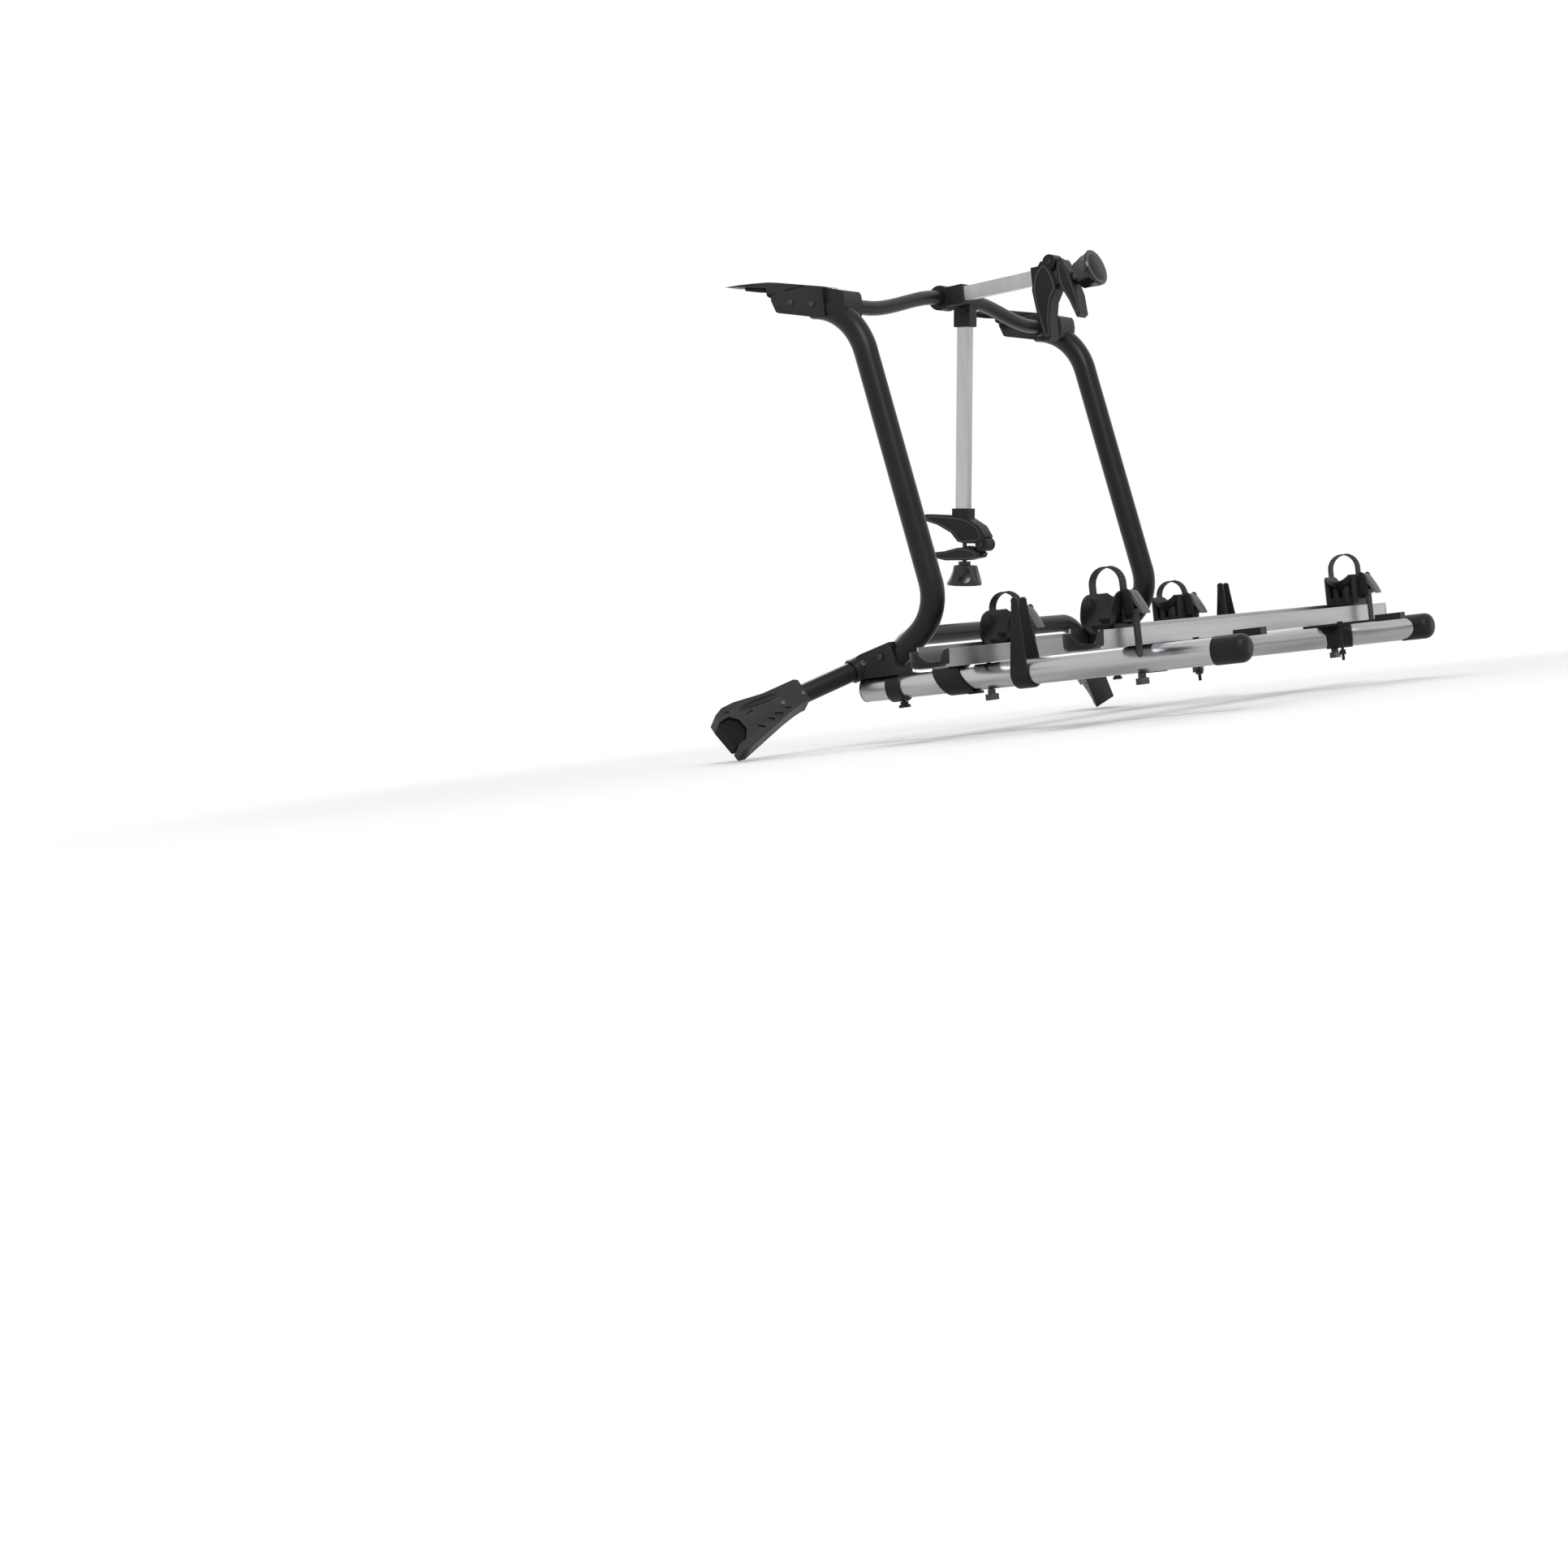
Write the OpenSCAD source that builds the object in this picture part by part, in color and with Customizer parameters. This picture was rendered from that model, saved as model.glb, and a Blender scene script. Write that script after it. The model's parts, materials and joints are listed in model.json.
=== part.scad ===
// Two-bike rear carrier for a motorhome: bent uprights with roof hooks, splayed struts
// with claws, and a folding platform of two round rails and two wheel trays.
// X runs to the right, Y towards the vehicle, Z up. The origin lies midway between the
// rail axes, under the centre line of the inner tray.

/* [Layout] */
// Distance between the two rail axes
rail_gap = 886; // [760:2:1000]
// Distance between the tray centre lines
tray_pitch = 324; // [280:2:360]
// Outer end of the rail tubes, measured from the inner tray
rail_reach = 512; // [480:2:560]
// Gap between parts that move past each other
run_gap = 0.4; // [0.3:0.1:0.8]
// Gap between a pin and its bore
pin_gap = 0.05; // [0.02:0.01:0.1]
// Gap between fixed parts that nest
seat_gap = 0.1; // [0.05:0.05:0.3]

/* [Rails] */
// Diameter of the rails
rail_d = 50; // [46:1:54]
// Wall of the rails
rail_wall = 2.5; // [2:0.5:4]
// Inner end of the fixed rail stubs
stub_end_y = 287; // [270:1:310]
// Start of the fixed rail stubs inside the fold collar
stub_start_y = 66; // [62:1:80]
// Wall of the nose caps over the rails
cap_wall = 1.6; // [1.2:0.2:3]
// Length of the sleeve of a nose cap
cap_sleeve = 35; // [30:1:45]
// Length of the nose ahead of the rail's end
cap_nose = 33; // [26:1:40]
// Radius of the rounding on the nose
cap_round = 18; // [12:1:22]

/* [Fold joint] */
// Hinge pin, distance from the inner tray's centre line
fold_y = 57; // [55:1:60]
// Hinge pin, height above the rail axis
fold_z = 33.5; // [33.5:0.5:36]
// Diameter of the hinge pin
fold_pin_d = 8; // [6:1:10]
// Length of the hinge pin
fold_pin_l = 44; // [40:1:50]
// Radius of the hinge ears
fold_ear_r = 8; // [7:0.5:8.5]
// Width of the moving hinge lug
fold_lug_w = 12; // [8:1:14]
// Width over the two fixed ears
fold_ears_w = 40; // [34:1:44]
// Outer radius of the fold collar
collar_r = 30; // [29:0.5:33]
// Length of the collar along the rail
collar_l = 59; // [50:1:66]
// Place of the collar's outer face on the rail axis
collar_y = 46; // [44:1:50]
// Slant of the collar's faces from vertical
collar_slant = 29; // [20:1:32]

/* [Uprights] */
// Diameter of the uprights
upright_d = 48; // [44:1:52]
// Wall of the uprights
upright_wall = 2; // [1.5:0.5:3]
// Lower bend, distance from the inner tray
low_bend_y = 98.5; // [90:0.5:110]
// Lower bend, height
low_bend_z = 132.8; // [125:0.1:145]
// Radius of the lower bend
low_bend_r = 100; // [80:5:110]
// Slope of the foot below the lower bend
foot_slope = 35; // [32:1:38]
// Upper bend, distance from the inner tray
top_bend_y = 218; // [210:1:226]
// Upper bend, height
top_bend_z = 749; // [700:1:800]
// Radius of the upper bend
top_bend_r = 135; // [110:5:150]
// Rise of the tube towards the roof hook
hook_slope = 10.4; // [8:0.1:13]
// End of the tube inside the roof hook
hook_tube_y = 312; // [305:1:330]

/* [Roof hooks] */
// Start of the roof hook, distance from the inner tray
hook_y = 269; // [264:1:276]
// Length of the roof hook
hook_l = 236; // [220:2:260]
// Height of the roof hook
hook_h = 105; // [96:1:116]
// Drop of the hook's lower corner below the tube's axis
hook_drop = 22; // [18:1:26]
// Width of the roof hook
hook_w = 56; // [54:1:66]
// Thickness of the pad under the hook
hook_pad_t = 7; // [4:1:9]
// Diameter of the heads of the hook bolts
hook_bolt_d = 11; // [9:1:14]
// Height of the heads of the hook bolts
hook_bolt_h = 2.5; // [2:0.5:4]

/* [Crossbars] */
// Diameter of the top crossbar
top_bar_d = 30; // [26:1:34]
// Distance of the top crossbar from the inner tray
top_bar_y = 280; // [276:1:286]
// Height of the ends of the top crossbar
top_bar_end_z = 767; // [762:1:772]
// Height of the middle of the top crossbar
top_bar_mid_z = 806; // [790:1:820]
// Half length of the raised middle of the top crossbar
top_bar_mid_l = 130; // [130:2:150]
// Half length between the lower bends of the top crossbar
top_bar_bend_x = 360; // [300:5:365]
// Radius of the bends of the top crossbar
top_bar_r = 200; // [120:10:260]
// Diameter of the lower crossbar
low_bar_d = 38; // [34:1:40]
// Distance of the lower crossbar from the inner tray
low_bar_y = 250; // [247:1:254]
// Height of the lower crossbar
low_bar_z = 96; // [90:1:104]
// Height of the lower crossbar's ends
low_bar_end_z = 47; // [46:1:52]
// Distance of its bends from the rail axes
low_bar_bend = 120; // [100:5:140]
// Radius of the bends of the lower crossbar
low_bar_r = 90; // [60:5:100]

/* [Joint brackets] */
// Near end of the joint bracket
joint_y = 194; // [190:1:198]
// Length of the joint bracket
joint_l = 104; // [98:1:108]
// Top of the joint bracket
joint_z = 88; // [84:1:94]
// Width of the joint bracket
joint_w = 60; // [58:1:68]
// Length of the ring round the rail stub
ring_l = 30; // [24:1:34]
// Outer radius of the ring round the rail stub
ring_r = 31; // [30:0.5:34]
// Diameter of the boss on the joint bracket
boss_d = 16; // [12:1:20]
// Height of the boss
boss_h = 3; // [2:0.5:5]
// Span of the joint's wing nut
wing_w = 34; // [28:1:40]
// Height of the joint's wing nut
wing_h = 12; // [9:1:16]

/* [Struts] */
// Diameter of the struts
strut_d = 39; // [36:1:42]
// Wall of the struts
strut_wall = 2.5; // [2:0.5:4]
// Length of the strut tube
strut_l = 224; // [215:1:250]
// Depth of the strut in the joint bracket
strut_in = 44; // [38:1:46]
// Swing of the strut away from straight outboard
strut_swing = 28; // [26:0.5:32]
// Droop of the strut
strut_droop = 16.2; // [14:0.1:20]
// Roll of the claw about the strut
claw_roll = 117.7; // [112:0.1:124]
// Outer radius of the strut's collar
strut_collar_r = 24; // [22:0.5:27]
// Start of the claw along the strut
claw_start = 127; // [120:1:140]
// Length of the claw
claw_l = 191; // [170:1:210]
// Height of the claw across the strut
claw_h = 101; // [90:1:120]
// Thickness of the claw
claw_t = 48; // [46:1:56]
// Thickness of the claw's rubber pad
claw_pad_w = 34; // [24:1:40]

/* [Upright clips] */
// Centre of the clip, distance from the inner tray
clip_y = -81; // [-90:1:-78]
// Width of the clip's band round the rail
clip_w = 38; // [30:1:44]
// Width of the prongs' ears
clip_ear_w = 14; // [10:1:18]
// Height of the prongs above the rail axis
clip_z = 136; // [128:1:142]
// Thickness of the clip's band
clip_t = 5.5; // [4:0.5:7]
// Shift between the two prongs' tips along the rail
clip_stagger = 14; // [8:1:18]

/* [Saddle brackets] */
// Length of the saddle bracket along the rail
saddle_l = 92; // [80:1:100]
// Start of the saddle bracket from the outer tray's centre line
saddle_y = 38; // [30:1:42]
// Wall of the saddle bracket
saddle_wall = 4.5; // [3:0.5:6]
// Thickness of the saddle's bare plate
plate_t = 1.5; // [1:0.5:3]

/* [Trays] */
// Length of the aluminium channel
tray_l = 1315; // [1200:5:1400]
// Shift of the trays to the right
tray_shift = 14.5; // [0:0.5:20]
// Width of the channel
tray_w = 60; // [56:1:64]
// Underside of the channel above the rail axis
tray_z = 26; // [25.5:0.5:28]
// Height of the outer wall
tray_h = 34; // [30:1:38]
// Height by which the inner wall stands over the outer one
tray_extra = 8; // [4:1:10]
// Wall of the channel
tray_wall = 2.5; // [2:0.5:3]
// Height of the hollow floor with its slot
tray_floor = 10; // [9:0.5:12]
// Width of the slot for the bolts
slot_w = 9; // [8.6:0.2:10]
// Width of the hollow for the bolts' heads
slot_head_w = 17; // [16.6:0.2:20]
// Length of the bowl at the tray's left end
bowl_l = 47; // [36:1:56]
// Wall of the bowl
bowl_wall = 3.5; // [2.5:0.5:5]
// Thickness of the plug at the right end
plug_t = 6; // [4:1:8]

/* [Tray knobs] */
// Diameter of the knobs' stems
knob_stem_d = 15; // [12:1:18]
// Length of the knobs' heads
knob_head_l = 35; // [30:1:40]
// Width of the knobs' heads
knob_head_w = 13; // [11:1:16]
// Height of the knobs' heads
knob_head_h = 12; // [9:1:14]
// Length of the knobs' stems
knob_stem_l = 9; // [7:1:12]
// Diameter of the T-bolts
tbolt_d = 8; // [6:1:8]

/* [Wheel holders] */
// Length of the wheel holder
holder_l = 110; // [100:1:116]
// Width of the wheel holder
holder_w = 70; // [66:1:74]
// Height of the holder above the rail axis
holder_z = 112; // [106:1:118]
// Height of the holder's shoulder
shoulder_z = 126; // [120:1:130]
// Distance of the inner tray's straps from the rail axis
strap_inner_x = 88; // [86:1:100]
// Distance of the outer tray's straps outboard of the rail axis
strap_outer_x = 95; // [92:1:102]
// Radius of the wheels that the holders take
wheel_r = 334; // [320:2:360]
// Radius of the tyre groove
tyre_r = 29; // [26:1:31]
// Distance from the strap to the wheel's axle
axle_dx = 160; // [150:2:170]
// Width of the straps
strap_w = 25; // [22:1:26]
// Thickness of the straps
strap_t = 3; // [2.4:0.2:3.6]
// Radius of the strap's arch
arch_r = 31; // [30:0.5:32]
// Top of the strap on the outer tray
arch_outer_z = 174; // [165:1:185]
// Top of the strap on the inner tray
arch_inner_z = 160; // [158:1:175]
// Distance of the hanging tail from the tray's centre line
tail_y = 50; // [49:1:54]
// Height of the tails' lower ends
tail_z = 24; // [16:1:40]
// Length of the ratchet lever
lever_l = 46; // [38:1:52]
// Thickness of the ratchet lever
lever_t = 5; // [4:0.5:7]
// Lean of the ratchet lever away from the holder
lever_lean = 32; // [24:1:40]

/* [Lamp brackets] */
// Distance of the lamp brackets from the rail axes
lamp_x = 107; // [100:1:120]
// Length of the bracket's flat bar
lamp_bar_l = 160; // [140:1:180]
// Length of the bracket's grey end
lamp_end_l = 55; // [44:1:64]
// Width of the lamp bracket
lamp_w = 26; // [20:1:30]
// Thickness of the flat bar
lamp_t = 5; // [4:0.5:5.5]
// Height of the grey end
lamp_end_h = 14; // [12:1:18]
// Distance of the bolt from the outer tray's centre line
lamp_bolt_y = 63; // [56:1:70]

/* [Bike arms] */
// Place of the inner arm's base along the crossbar
arm_in_x = 87; // [80:1:87]
// Place of the outer arm's base along the crossbar
arm_out_x = 0; // [-20:1:20]
// Width of the arm's base
arm_base_w = 40; // [34:1:40]
// Outer radius of the arm's base
arm_base_r = 26; // [24:0.5:30]
// Width of the arm's bar
arm_bar_w = 30; // [24:1:34]
// Depth of the arm's bar
arm_bar_d = 20; // [16:1:22]
// Distance from the crossbar to the inner arm's clamp
arm_in_l = 470; // [440:5:500]
// Lean of the inner arm towards the vehicle
arm_in_lean = 8; // [6:0.5:9]
// Distance from the crossbar to the outer arm's clamp
arm_out_l = 250; // [230:2:270]

/* [Clamps] */
// Length of the clamp from its hinge to its mouth
clamp_l = 150; // [130:1:160]
// Depth of the upper jaw
jaw_h = 44; // [38:1:48]
// Width of the jaws
jaw_w = 34; // [28:1:38]
// Diameter of the clamp's spindle
spindle_d = 10; // [8:1:12]
// Place of the spindle from the hinge
spindle_x = 52; // [50:1:54]
// Diameter of the hinge boss
clamp_boss_d = 30; // [26:1:34]
// Diameter of the clamp knob's foot
clamp_knob_d = 68; // [60:1:74]
// Height of the clamp knob
clamp_knob_h = 46; // [40:1:52]

/* [Hidden] */

black = [0.07, 0.07, 0.08];
plastic = [0.11, 0.11, 0.12];
rubber = [0.16, 0.16, 0.17];
silver = [0.74, 0.75, 0.77];
grey = [0.36, 0.37, 0.39];
blue_grey = [0.24, 0.27, 0.31];

overrun = 1;
rail_x = rail_gap / 2;
rail_r = rail_d / 2;
upright_r = upright_d / 2;
outer_y = -tray_pitch;
tray_inside = tray_w - 2 * tray_wall;
floor_z = tray_z + tray_floor;
wall_top = tray_z + tray_h + tray_extra;

// Outline points given as shares of a length and a height
function sized(shares, l, h) = [for (p = shares) [p[0] * l, p[1] * h]];

// Side plane: local X lies along Y, local Y up, local Z along X
module side_plane(x) translate([x, 0, 0]) rotate([90, 0, 90]) children();
// Front plane: local X lies along X, local Y up, local Z towards -Y
module front_plane(y) translate([0, y, 0]) rotate([90, 0, 0]) children();
// Outline in the side plane, given a width and centred on x
module side_plate(x, w) side_plane(x - w / 2) linear_extrude(w) children();
// Copy for the left or the right side
module on_side(side) {
    if (side < 0) children();
    if (side > 0) mirror([1, 0, 0]) children();
}
// Rod along X, Y or Z from a start point
module rod_x(x, y, z, l, d) translate([x, y, z]) rotate([0, 90, 0]) cylinder(h = l, d = d, $fn = 64);
module rod_y(x, y, z, l, d) translate([x, y, z]) rotate([-90, 0, 0]) cylinder(h = l, d = d, $fn = 64);
module rod_z(x, y, z, l, d) translate([x, y, z]) cylinder(h = l, d = d, $fn = 64);
module box(x0, y0, z0, l, w, h) translate([x0, y0, z0]) cube([l, w, h]);
// Rectangle with round corners, centred
module soft_rect(l, w, r) {
    square([l - 2 * r, w], center = true);
    square([l, w - 2 * r], center = true);
    for (sx = [-1, 1]) for (sy = [-1, 1])
        translate([sx * (l / 2 - r), sy * (w / 2 - r)]) circle(r, $fn = 32);
}

// Round bar through plan points, with a bend radius at each inner point. The bends are a
// hair thicker than the straight runs, which reach a little way into them.
function heading(a, b) = atan2(b[1] - a[1], b[0] - a[0]);
function turned(a) = a > 180 ? a - 360 : (a < -180 ? a + 360 : a);
function bend_at(p, i) = turned(heading(p[i], p[i + 1]) - heading(p[i - 1], p[i]));
function tangent_at(p, r, i) =
    (i == 0 || i == len(p) - 1) ? 0 : r[i] * tan(abs(bend_at(p, i)) / 2);
bend_lap = 0.5;
bend_step = 0.4;
module bent_bar(p, r, d, extra) {
    last = len(p) - 2;
    for (i = [0:last]) {
        h = heading(p[i], p[i + 1]);
        back = i == 0 ? extra : bend_lap;
        front = i == last ? extra : bend_lap;
        start = tangent_at(p, r, i) - back;
        run = norm(p[i + 1] - p[i]) - tangent_at(p, r, i) - tangent_at(p, r, i + 1);
        translate([p[i][0] + cos(h) * start, p[i][1] + sin(h) * start, 0])
            rotate([0, 0, h]) rotate([0, 90, 0]) rotate([0, 0, 90])
            cylinder(h = run + back + front, d = d, $fn = 64);
    }
    for (i = [1:len(p) - 2]) {
        h = heading(p[i - 1], p[i]);
        b = bend_at(p, i);
        t = tangent_at(p, r, i);
        side = b > 0 ? 1 : -1;
        translate([p[i][0] - cos(h) * t - side * sin(h) * r[i],
                   p[i][1] - sin(h) * t + side * cos(h) * r[i], 0])
            rotate([0, 0, b > 0 ? h - 90 : h + 90 + b])
            rotate_extrude(angle = abs(b), $fn = 96) translate([r[i], 0])
            rotate(b > 0 ? 180 : 0) circle(d = d + bend_step, $fn = 64);
    }
}
module bent_tube(p, r, d, wall) {
    difference() {
        bent_bar(p, r, d, 0);
        bent_bar(p, r, d - 2 * wall, overrun);
    }
}

// Uprights
foot_end_z = rail_r + upright_r * cos(foot_slope) + overrun;
foot_end_y = low_bend_y + (low_bend_z - foot_end_z) / tan(foot_slope);
hook_tube_z = top_bend_z + (hook_tube_y - top_bend_y) * tan(hook_slope);
upright_path = [
    [foot_end_y, foot_end_z], [low_bend_y, low_bend_z],
    [top_bend_y, top_bend_z], [hook_tube_y, hook_tube_z]
];
upright_radii = [0, low_bend_r, top_bend_r, 0];
module upright() color(black) side_plane(-rail_x)
    bent_tube(upright_path, upright_radii, upright_d, upright_wall);
module upright_space(extra) side_plane(-rail_x)
    bent_bar(upright_path, upright_radii, upright_d + 2 * seat_gap, extra);

// Roof hooks
hook_z = top_bend_z + (hook_y - top_bend_y) * tan(hook_slope) - hook_drop;
hook_shares = [
    [0, 0.58], [0.45, 0.84], [0.54, 0.885], [0.70, 0.93], [0.85, 0.965], [1, 0.985],
    [0.86, 0.93], [0.80, 0.90], [0.575, 0.79], [0.568, 0.64], [0.54, 0.58],
    [0.492, 0.30], [0.47, 0.27], [0.03, 0], [0, 0.03]
];
hook_pad_shares = [[0.60, 0.802], [0.80, 0.8995]];
hook_bolt_shares = [[0.33, 0.42], [0.12, 0.30]];
hook_bolts_xy = sized(hook_bolt_shares, hook_l, hook_h);
module hook_bracket() color(black) difference() {
    side_plate(-rail_x, hook_w) translate([hook_y, hook_z])
        polygon(sized(hook_shares, hook_l, hook_h));
    upright_space(0);
}
module hook_pad() color(rubber) side_plate(-rail_x, hook_w - hook_pad_t)
    translate([hook_y, hook_z]) {
        p = sized(hook_pad_shares, hook_l, hook_h);
        polygon([p[0], p[1], p[1] - [0, hook_pad_t], p[0] - [0, hook_pad_t]]);
    }
module hook_bolt_set() color(grey) for (p = hook_bolts_xy)
    rod_x(-rail_x - hook_w / 2 - hook_bolt_h, hook_y + p[0], hook_z + p[1],
          hook_bolt_h, hook_bolt_d);

// Top crossbar with its clamps
clamp_face_x = rail_x - hook_w / 2;
socket_l = 30;
socket_depth = 18;
socket_d = top_bar_d + 10;
cap_far_y = hook_y - seat_gap;
cap_l = 44;
cap_h = 62;
cap_z = hook_z - 2;
cap_shares = [[0, 0.42], [0.12, 0], [1, 0], [1, 1], [0.1, 0.78], [0.02, 0.66]];
cap_out = 19;
cap_in = 44;
top_bar_end_x = clamp_face_x - socket_l + socket_depth;
top_bar_path = [
    [-top_bar_end_x, top_bar_end_z], [-top_bar_bend_x, top_bar_end_z],
    [-top_bar_mid_l, top_bar_mid_z], [top_bar_mid_l, top_bar_mid_z],
    [top_bar_bend_x, top_bar_end_z], [top_bar_end_x, top_bar_end_z]
];
top_bar_radii = [0, top_bar_r, top_bar_r, top_bar_r, top_bar_r, 0];
module top_crossbar() color(black) front_plane(top_bar_y)
    bent_bar(top_bar_path, top_bar_radii, top_bar_d, 0);
module crossbar_clamp() color(black) difference() {
    union() {
        side_plane(-rail_x - cap_out) linear_extrude(cap_out + cap_in)
            translate([cap_far_y - cap_l, cap_z]) polygon(sized(cap_shares, cap_l, cap_h));
        rod_x(-clamp_face_x + seat_gap, top_bar_y, top_bar_end_z, socket_l, socket_d);
    }
    upright_space(0);
    rod_x(-top_bar_end_x - seat_gap, top_bar_y, top_bar_end_z, socket_l,
          top_bar_d + 2 * seat_gap);
}

// Lower crossbar
low_bar_face_x = rail_x - joint_w / 2;
low_bar_out_x = rail_x - rail_r + overrun;
low_bar_bend_x = rail_x - low_bar_bend;
low_bar_drop = (low_bar_z - low_bar_end_z) / (low_bar_bend - joint_w / 2);
low_bar_cut_z = low_bar_end_z - low_bar_drop * (low_bar_out_x - low_bar_face_x);
low_bar_path = [
    [-low_bar_out_x, low_bar_cut_z], [-low_bar_bend_x, low_bar_z],
    [low_bar_bend_x, low_bar_z], [low_bar_out_x, low_bar_cut_z]
];
module lower_crossbar() color(black) intersection() {
    front_plane(low_bar_y)
        bent_bar(low_bar_path, [0, low_bar_r, low_bar_r, 0], low_bar_d, 0);
    box(-low_bar_face_x, low_bar_y - low_bar_d, 0, 2 * low_bar_face_x,
        2 * low_bar_d, low_bar_z + low_bar_d);
}

// Joint brackets
joint_floor = 21;
joint_shares = [
    [0, 0.02], [0.86, 0], [1, 0.58], [0.78, 0.74], [0.09, 1], [0, 0.55]
];
strut_start_x = rail_x + joint_w / 2;
strut_start_y = 293;
strut_start_z = 40;
joint_boss_y = joint_y + 33;
joint_boss_z = 61;
wing_bolt_y = joint_y + 8;
wing_bolt_d = 8;
wing_top_z = -ring_r - seat_gap;
// Frame along the strut: local X down the strut, local Y up across the claw
module strut_frame() translate([-strut_start_x, strut_start_y, strut_start_z])
    rotate([0, strut_droop, 180 - strut_swing]) rotate([claw_roll, 0, 0]) children();
strut_collar_l = 30;
strut_collar_out = 6;
module joint_bracket() color(black) difference() {
    union() {
        side_plate(-rail_x, joint_w) translate([joint_y, joint_floor])
            polygon(sized(joint_shares, joint_l, joint_z - joint_floor));
        rod_y(-rail_x, joint_y, 0, ring_l, 2 * ring_r);
        strut_frame() rod_x(-strut_collar_l, 0, 0, strut_collar_l + strut_collar_out,
                            2 * strut_collar_r);
        rod_x(-strut_start_x - boss_h, joint_boss_y, joint_boss_z, boss_h + overrun, boss_d);
    }
    rod_y(-rail_x, joint_y - overrun, 0, stub_end_y - joint_y + 2 * overrun,
          rail_d + 2 * seat_gap);
    upright_space(0);
    strut_frame() rod_x(-strut_in - overrun, 0, 0,
                        strut_in + strut_collar_out + 2 * overrun, strut_d + 2 * pin_gap);
    rod_z(-rail_x, wing_bolt_y, -ring_r - overrun, ring_r, wing_bolt_d + 2 * pin_gap);
}
module wing_nut(x, y, z, w, h, d) {
    rod_z(x, y, z - h, h, d * 2);
    translate([x, y, z - h]) linear_extrude(h / 2) soft_rect(w, d, d / 3);
}
module joint_wing_nut() color(plastic) {
    wing_nut(-rail_x, wing_bolt_y, wing_top_z - run_gap, wing_w, wing_h, wing_bolt_d);
    rod_z(-rail_x, wing_bolt_y, -ring_r - overrun, ring_r - rail_r, wing_bolt_d);
}

// Rail stubs and fold collars
module rail_stub() color(silver) difference() {
    rod_y(-rail_x, stub_start_y, 0, stub_end_y - stub_start_y, rail_d);
    rod_y(-rail_x, stub_start_y - overrun, 0, stub_end_y - stub_start_y + 2 * overrun,
          rail_d - 2 * rail_wall);
}
slant_run = rail_d * tan(collar_slant);
// Slab between two slanted planes across the rail
module slant_slab(y0, y1) side_plate(-rail_x, 3 * rail_d) polygon([
    [y0 + slant_run, rail_d], [y1 + slant_run, rail_d],
    [y1 - slant_run, -rail_d], [y0 - slant_run, -rail_d]
]);
slot_half = fold_lug_w / 2 + run_gap;
ear_back = 24;
ear_top = fold_z + 2;
lip_l = 22;
module fold_collar() color(plastic) difference() {
    union() {
        intersection() {
            rod_y(-rail_x, 0, 0, collar_y + collar_l + slant_run, 2 * collar_r);
            slant_slab(collar_y, collar_y + collar_l);
        }
        rod_x(-rail_x - fold_ears_w / 2, fold_y, fold_z, fold_ears_w, 2 * fold_ear_r);
        box(-rail_x - fold_ears_w / 2, fold_y, rail_r + run_gap, fold_ears_w, ear_back,
            ear_top - rail_r);
        box(-rail_x - lip_l / 2, collar_y - lip_l, -collar_r - overrun, lip_l, lip_l,
            collar_r - rail_r);
    }
    rod_y(-rail_x, stub_start_y - run_gap, 0, stub_end_y, rail_d + 2 * seat_gap);
    rod_x(-rail_x - fold_ears_w, fold_y, fold_z, 2 * fold_ears_w, fold_pin_d + 2 * pin_gap);
    box(-rail_x - slot_half, fold_y - 2 * fold_ear_r, fold_z - fold_ear_r - 2 * overrun,
        2 * slot_half, 3 * fold_ear_r + run_gap, 2 * rail_d);
}
module fold_pin() color(grey)
    rod_x(-rail_x - fold_pin_l / 2, fold_y, fold_z, fold_pin_l, fold_pin_d);

// Moving rails, knuckles and nose caps
rail_face_y = collar_y - 2 * run_gap;
knuckle_l = 34;
notch_l = 30;
module rail_holes(d) for (y = [0, outer_y])
    rod_z(-rail_x, y, -rail_d, 2 * rail_d, d);
module rail() color(silver) difference() {
    intersection() {
        rod_y(-rail_x, -rail_reach, 0, rail_reach + 2 * rail_d, rail_d);
        slant_slab(-2 * rail_reach, rail_face_y);
    }
    rod_y(-rail_x, -rail_reach - overrun, 0, rail_reach + 3 * rail_d, rail_d - 2 * rail_wall);
    rail_holes(tbolt_d + 2 * pin_gap);
    box(-rail_x - slot_half, rail_face_y - notch_l + slant_run / 2, 0, 2 * slot_half,
        2 * notch_l, 2 * rail_r);
}
module rail_knuckle() color(plastic) {
    difference() {
        union() {
            intersection() {
                rod_y(-rail_x, rail_face_y - knuckle_l, 0, 3 * knuckle_l,
                      rail_d - 2 * rail_wall - 2 * seat_gap);
                slant_slab(rail_face_y - knuckle_l, rail_face_y);
            }
            side_plate(-rail_x, fold_lug_w) polygon([
                [fold_y, fold_z + fold_ear_r], [fold_y - fold_ear_r, fold_z],
                [rail_face_y - knuckle_l / 3, 0], [rail_face_y - overrun, 0],
                [fold_y - fold_ear_r / 2, fold_z - fold_ear_r]
            ]);
            rod_x(-rail_x - fold_lug_w / 2, fold_y, fold_z, fold_lug_w, 2 * fold_ear_r);
        }
        rod_x(-rail_x - fold_lug_w, fold_y, fold_z, 2 * fold_lug_w, fold_pin_d + 2 * pin_gap);
    }
}
cap_r = rail_r + cap_wall;
cap_cut_slant = 30;
cap_cut_x = 5;
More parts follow.
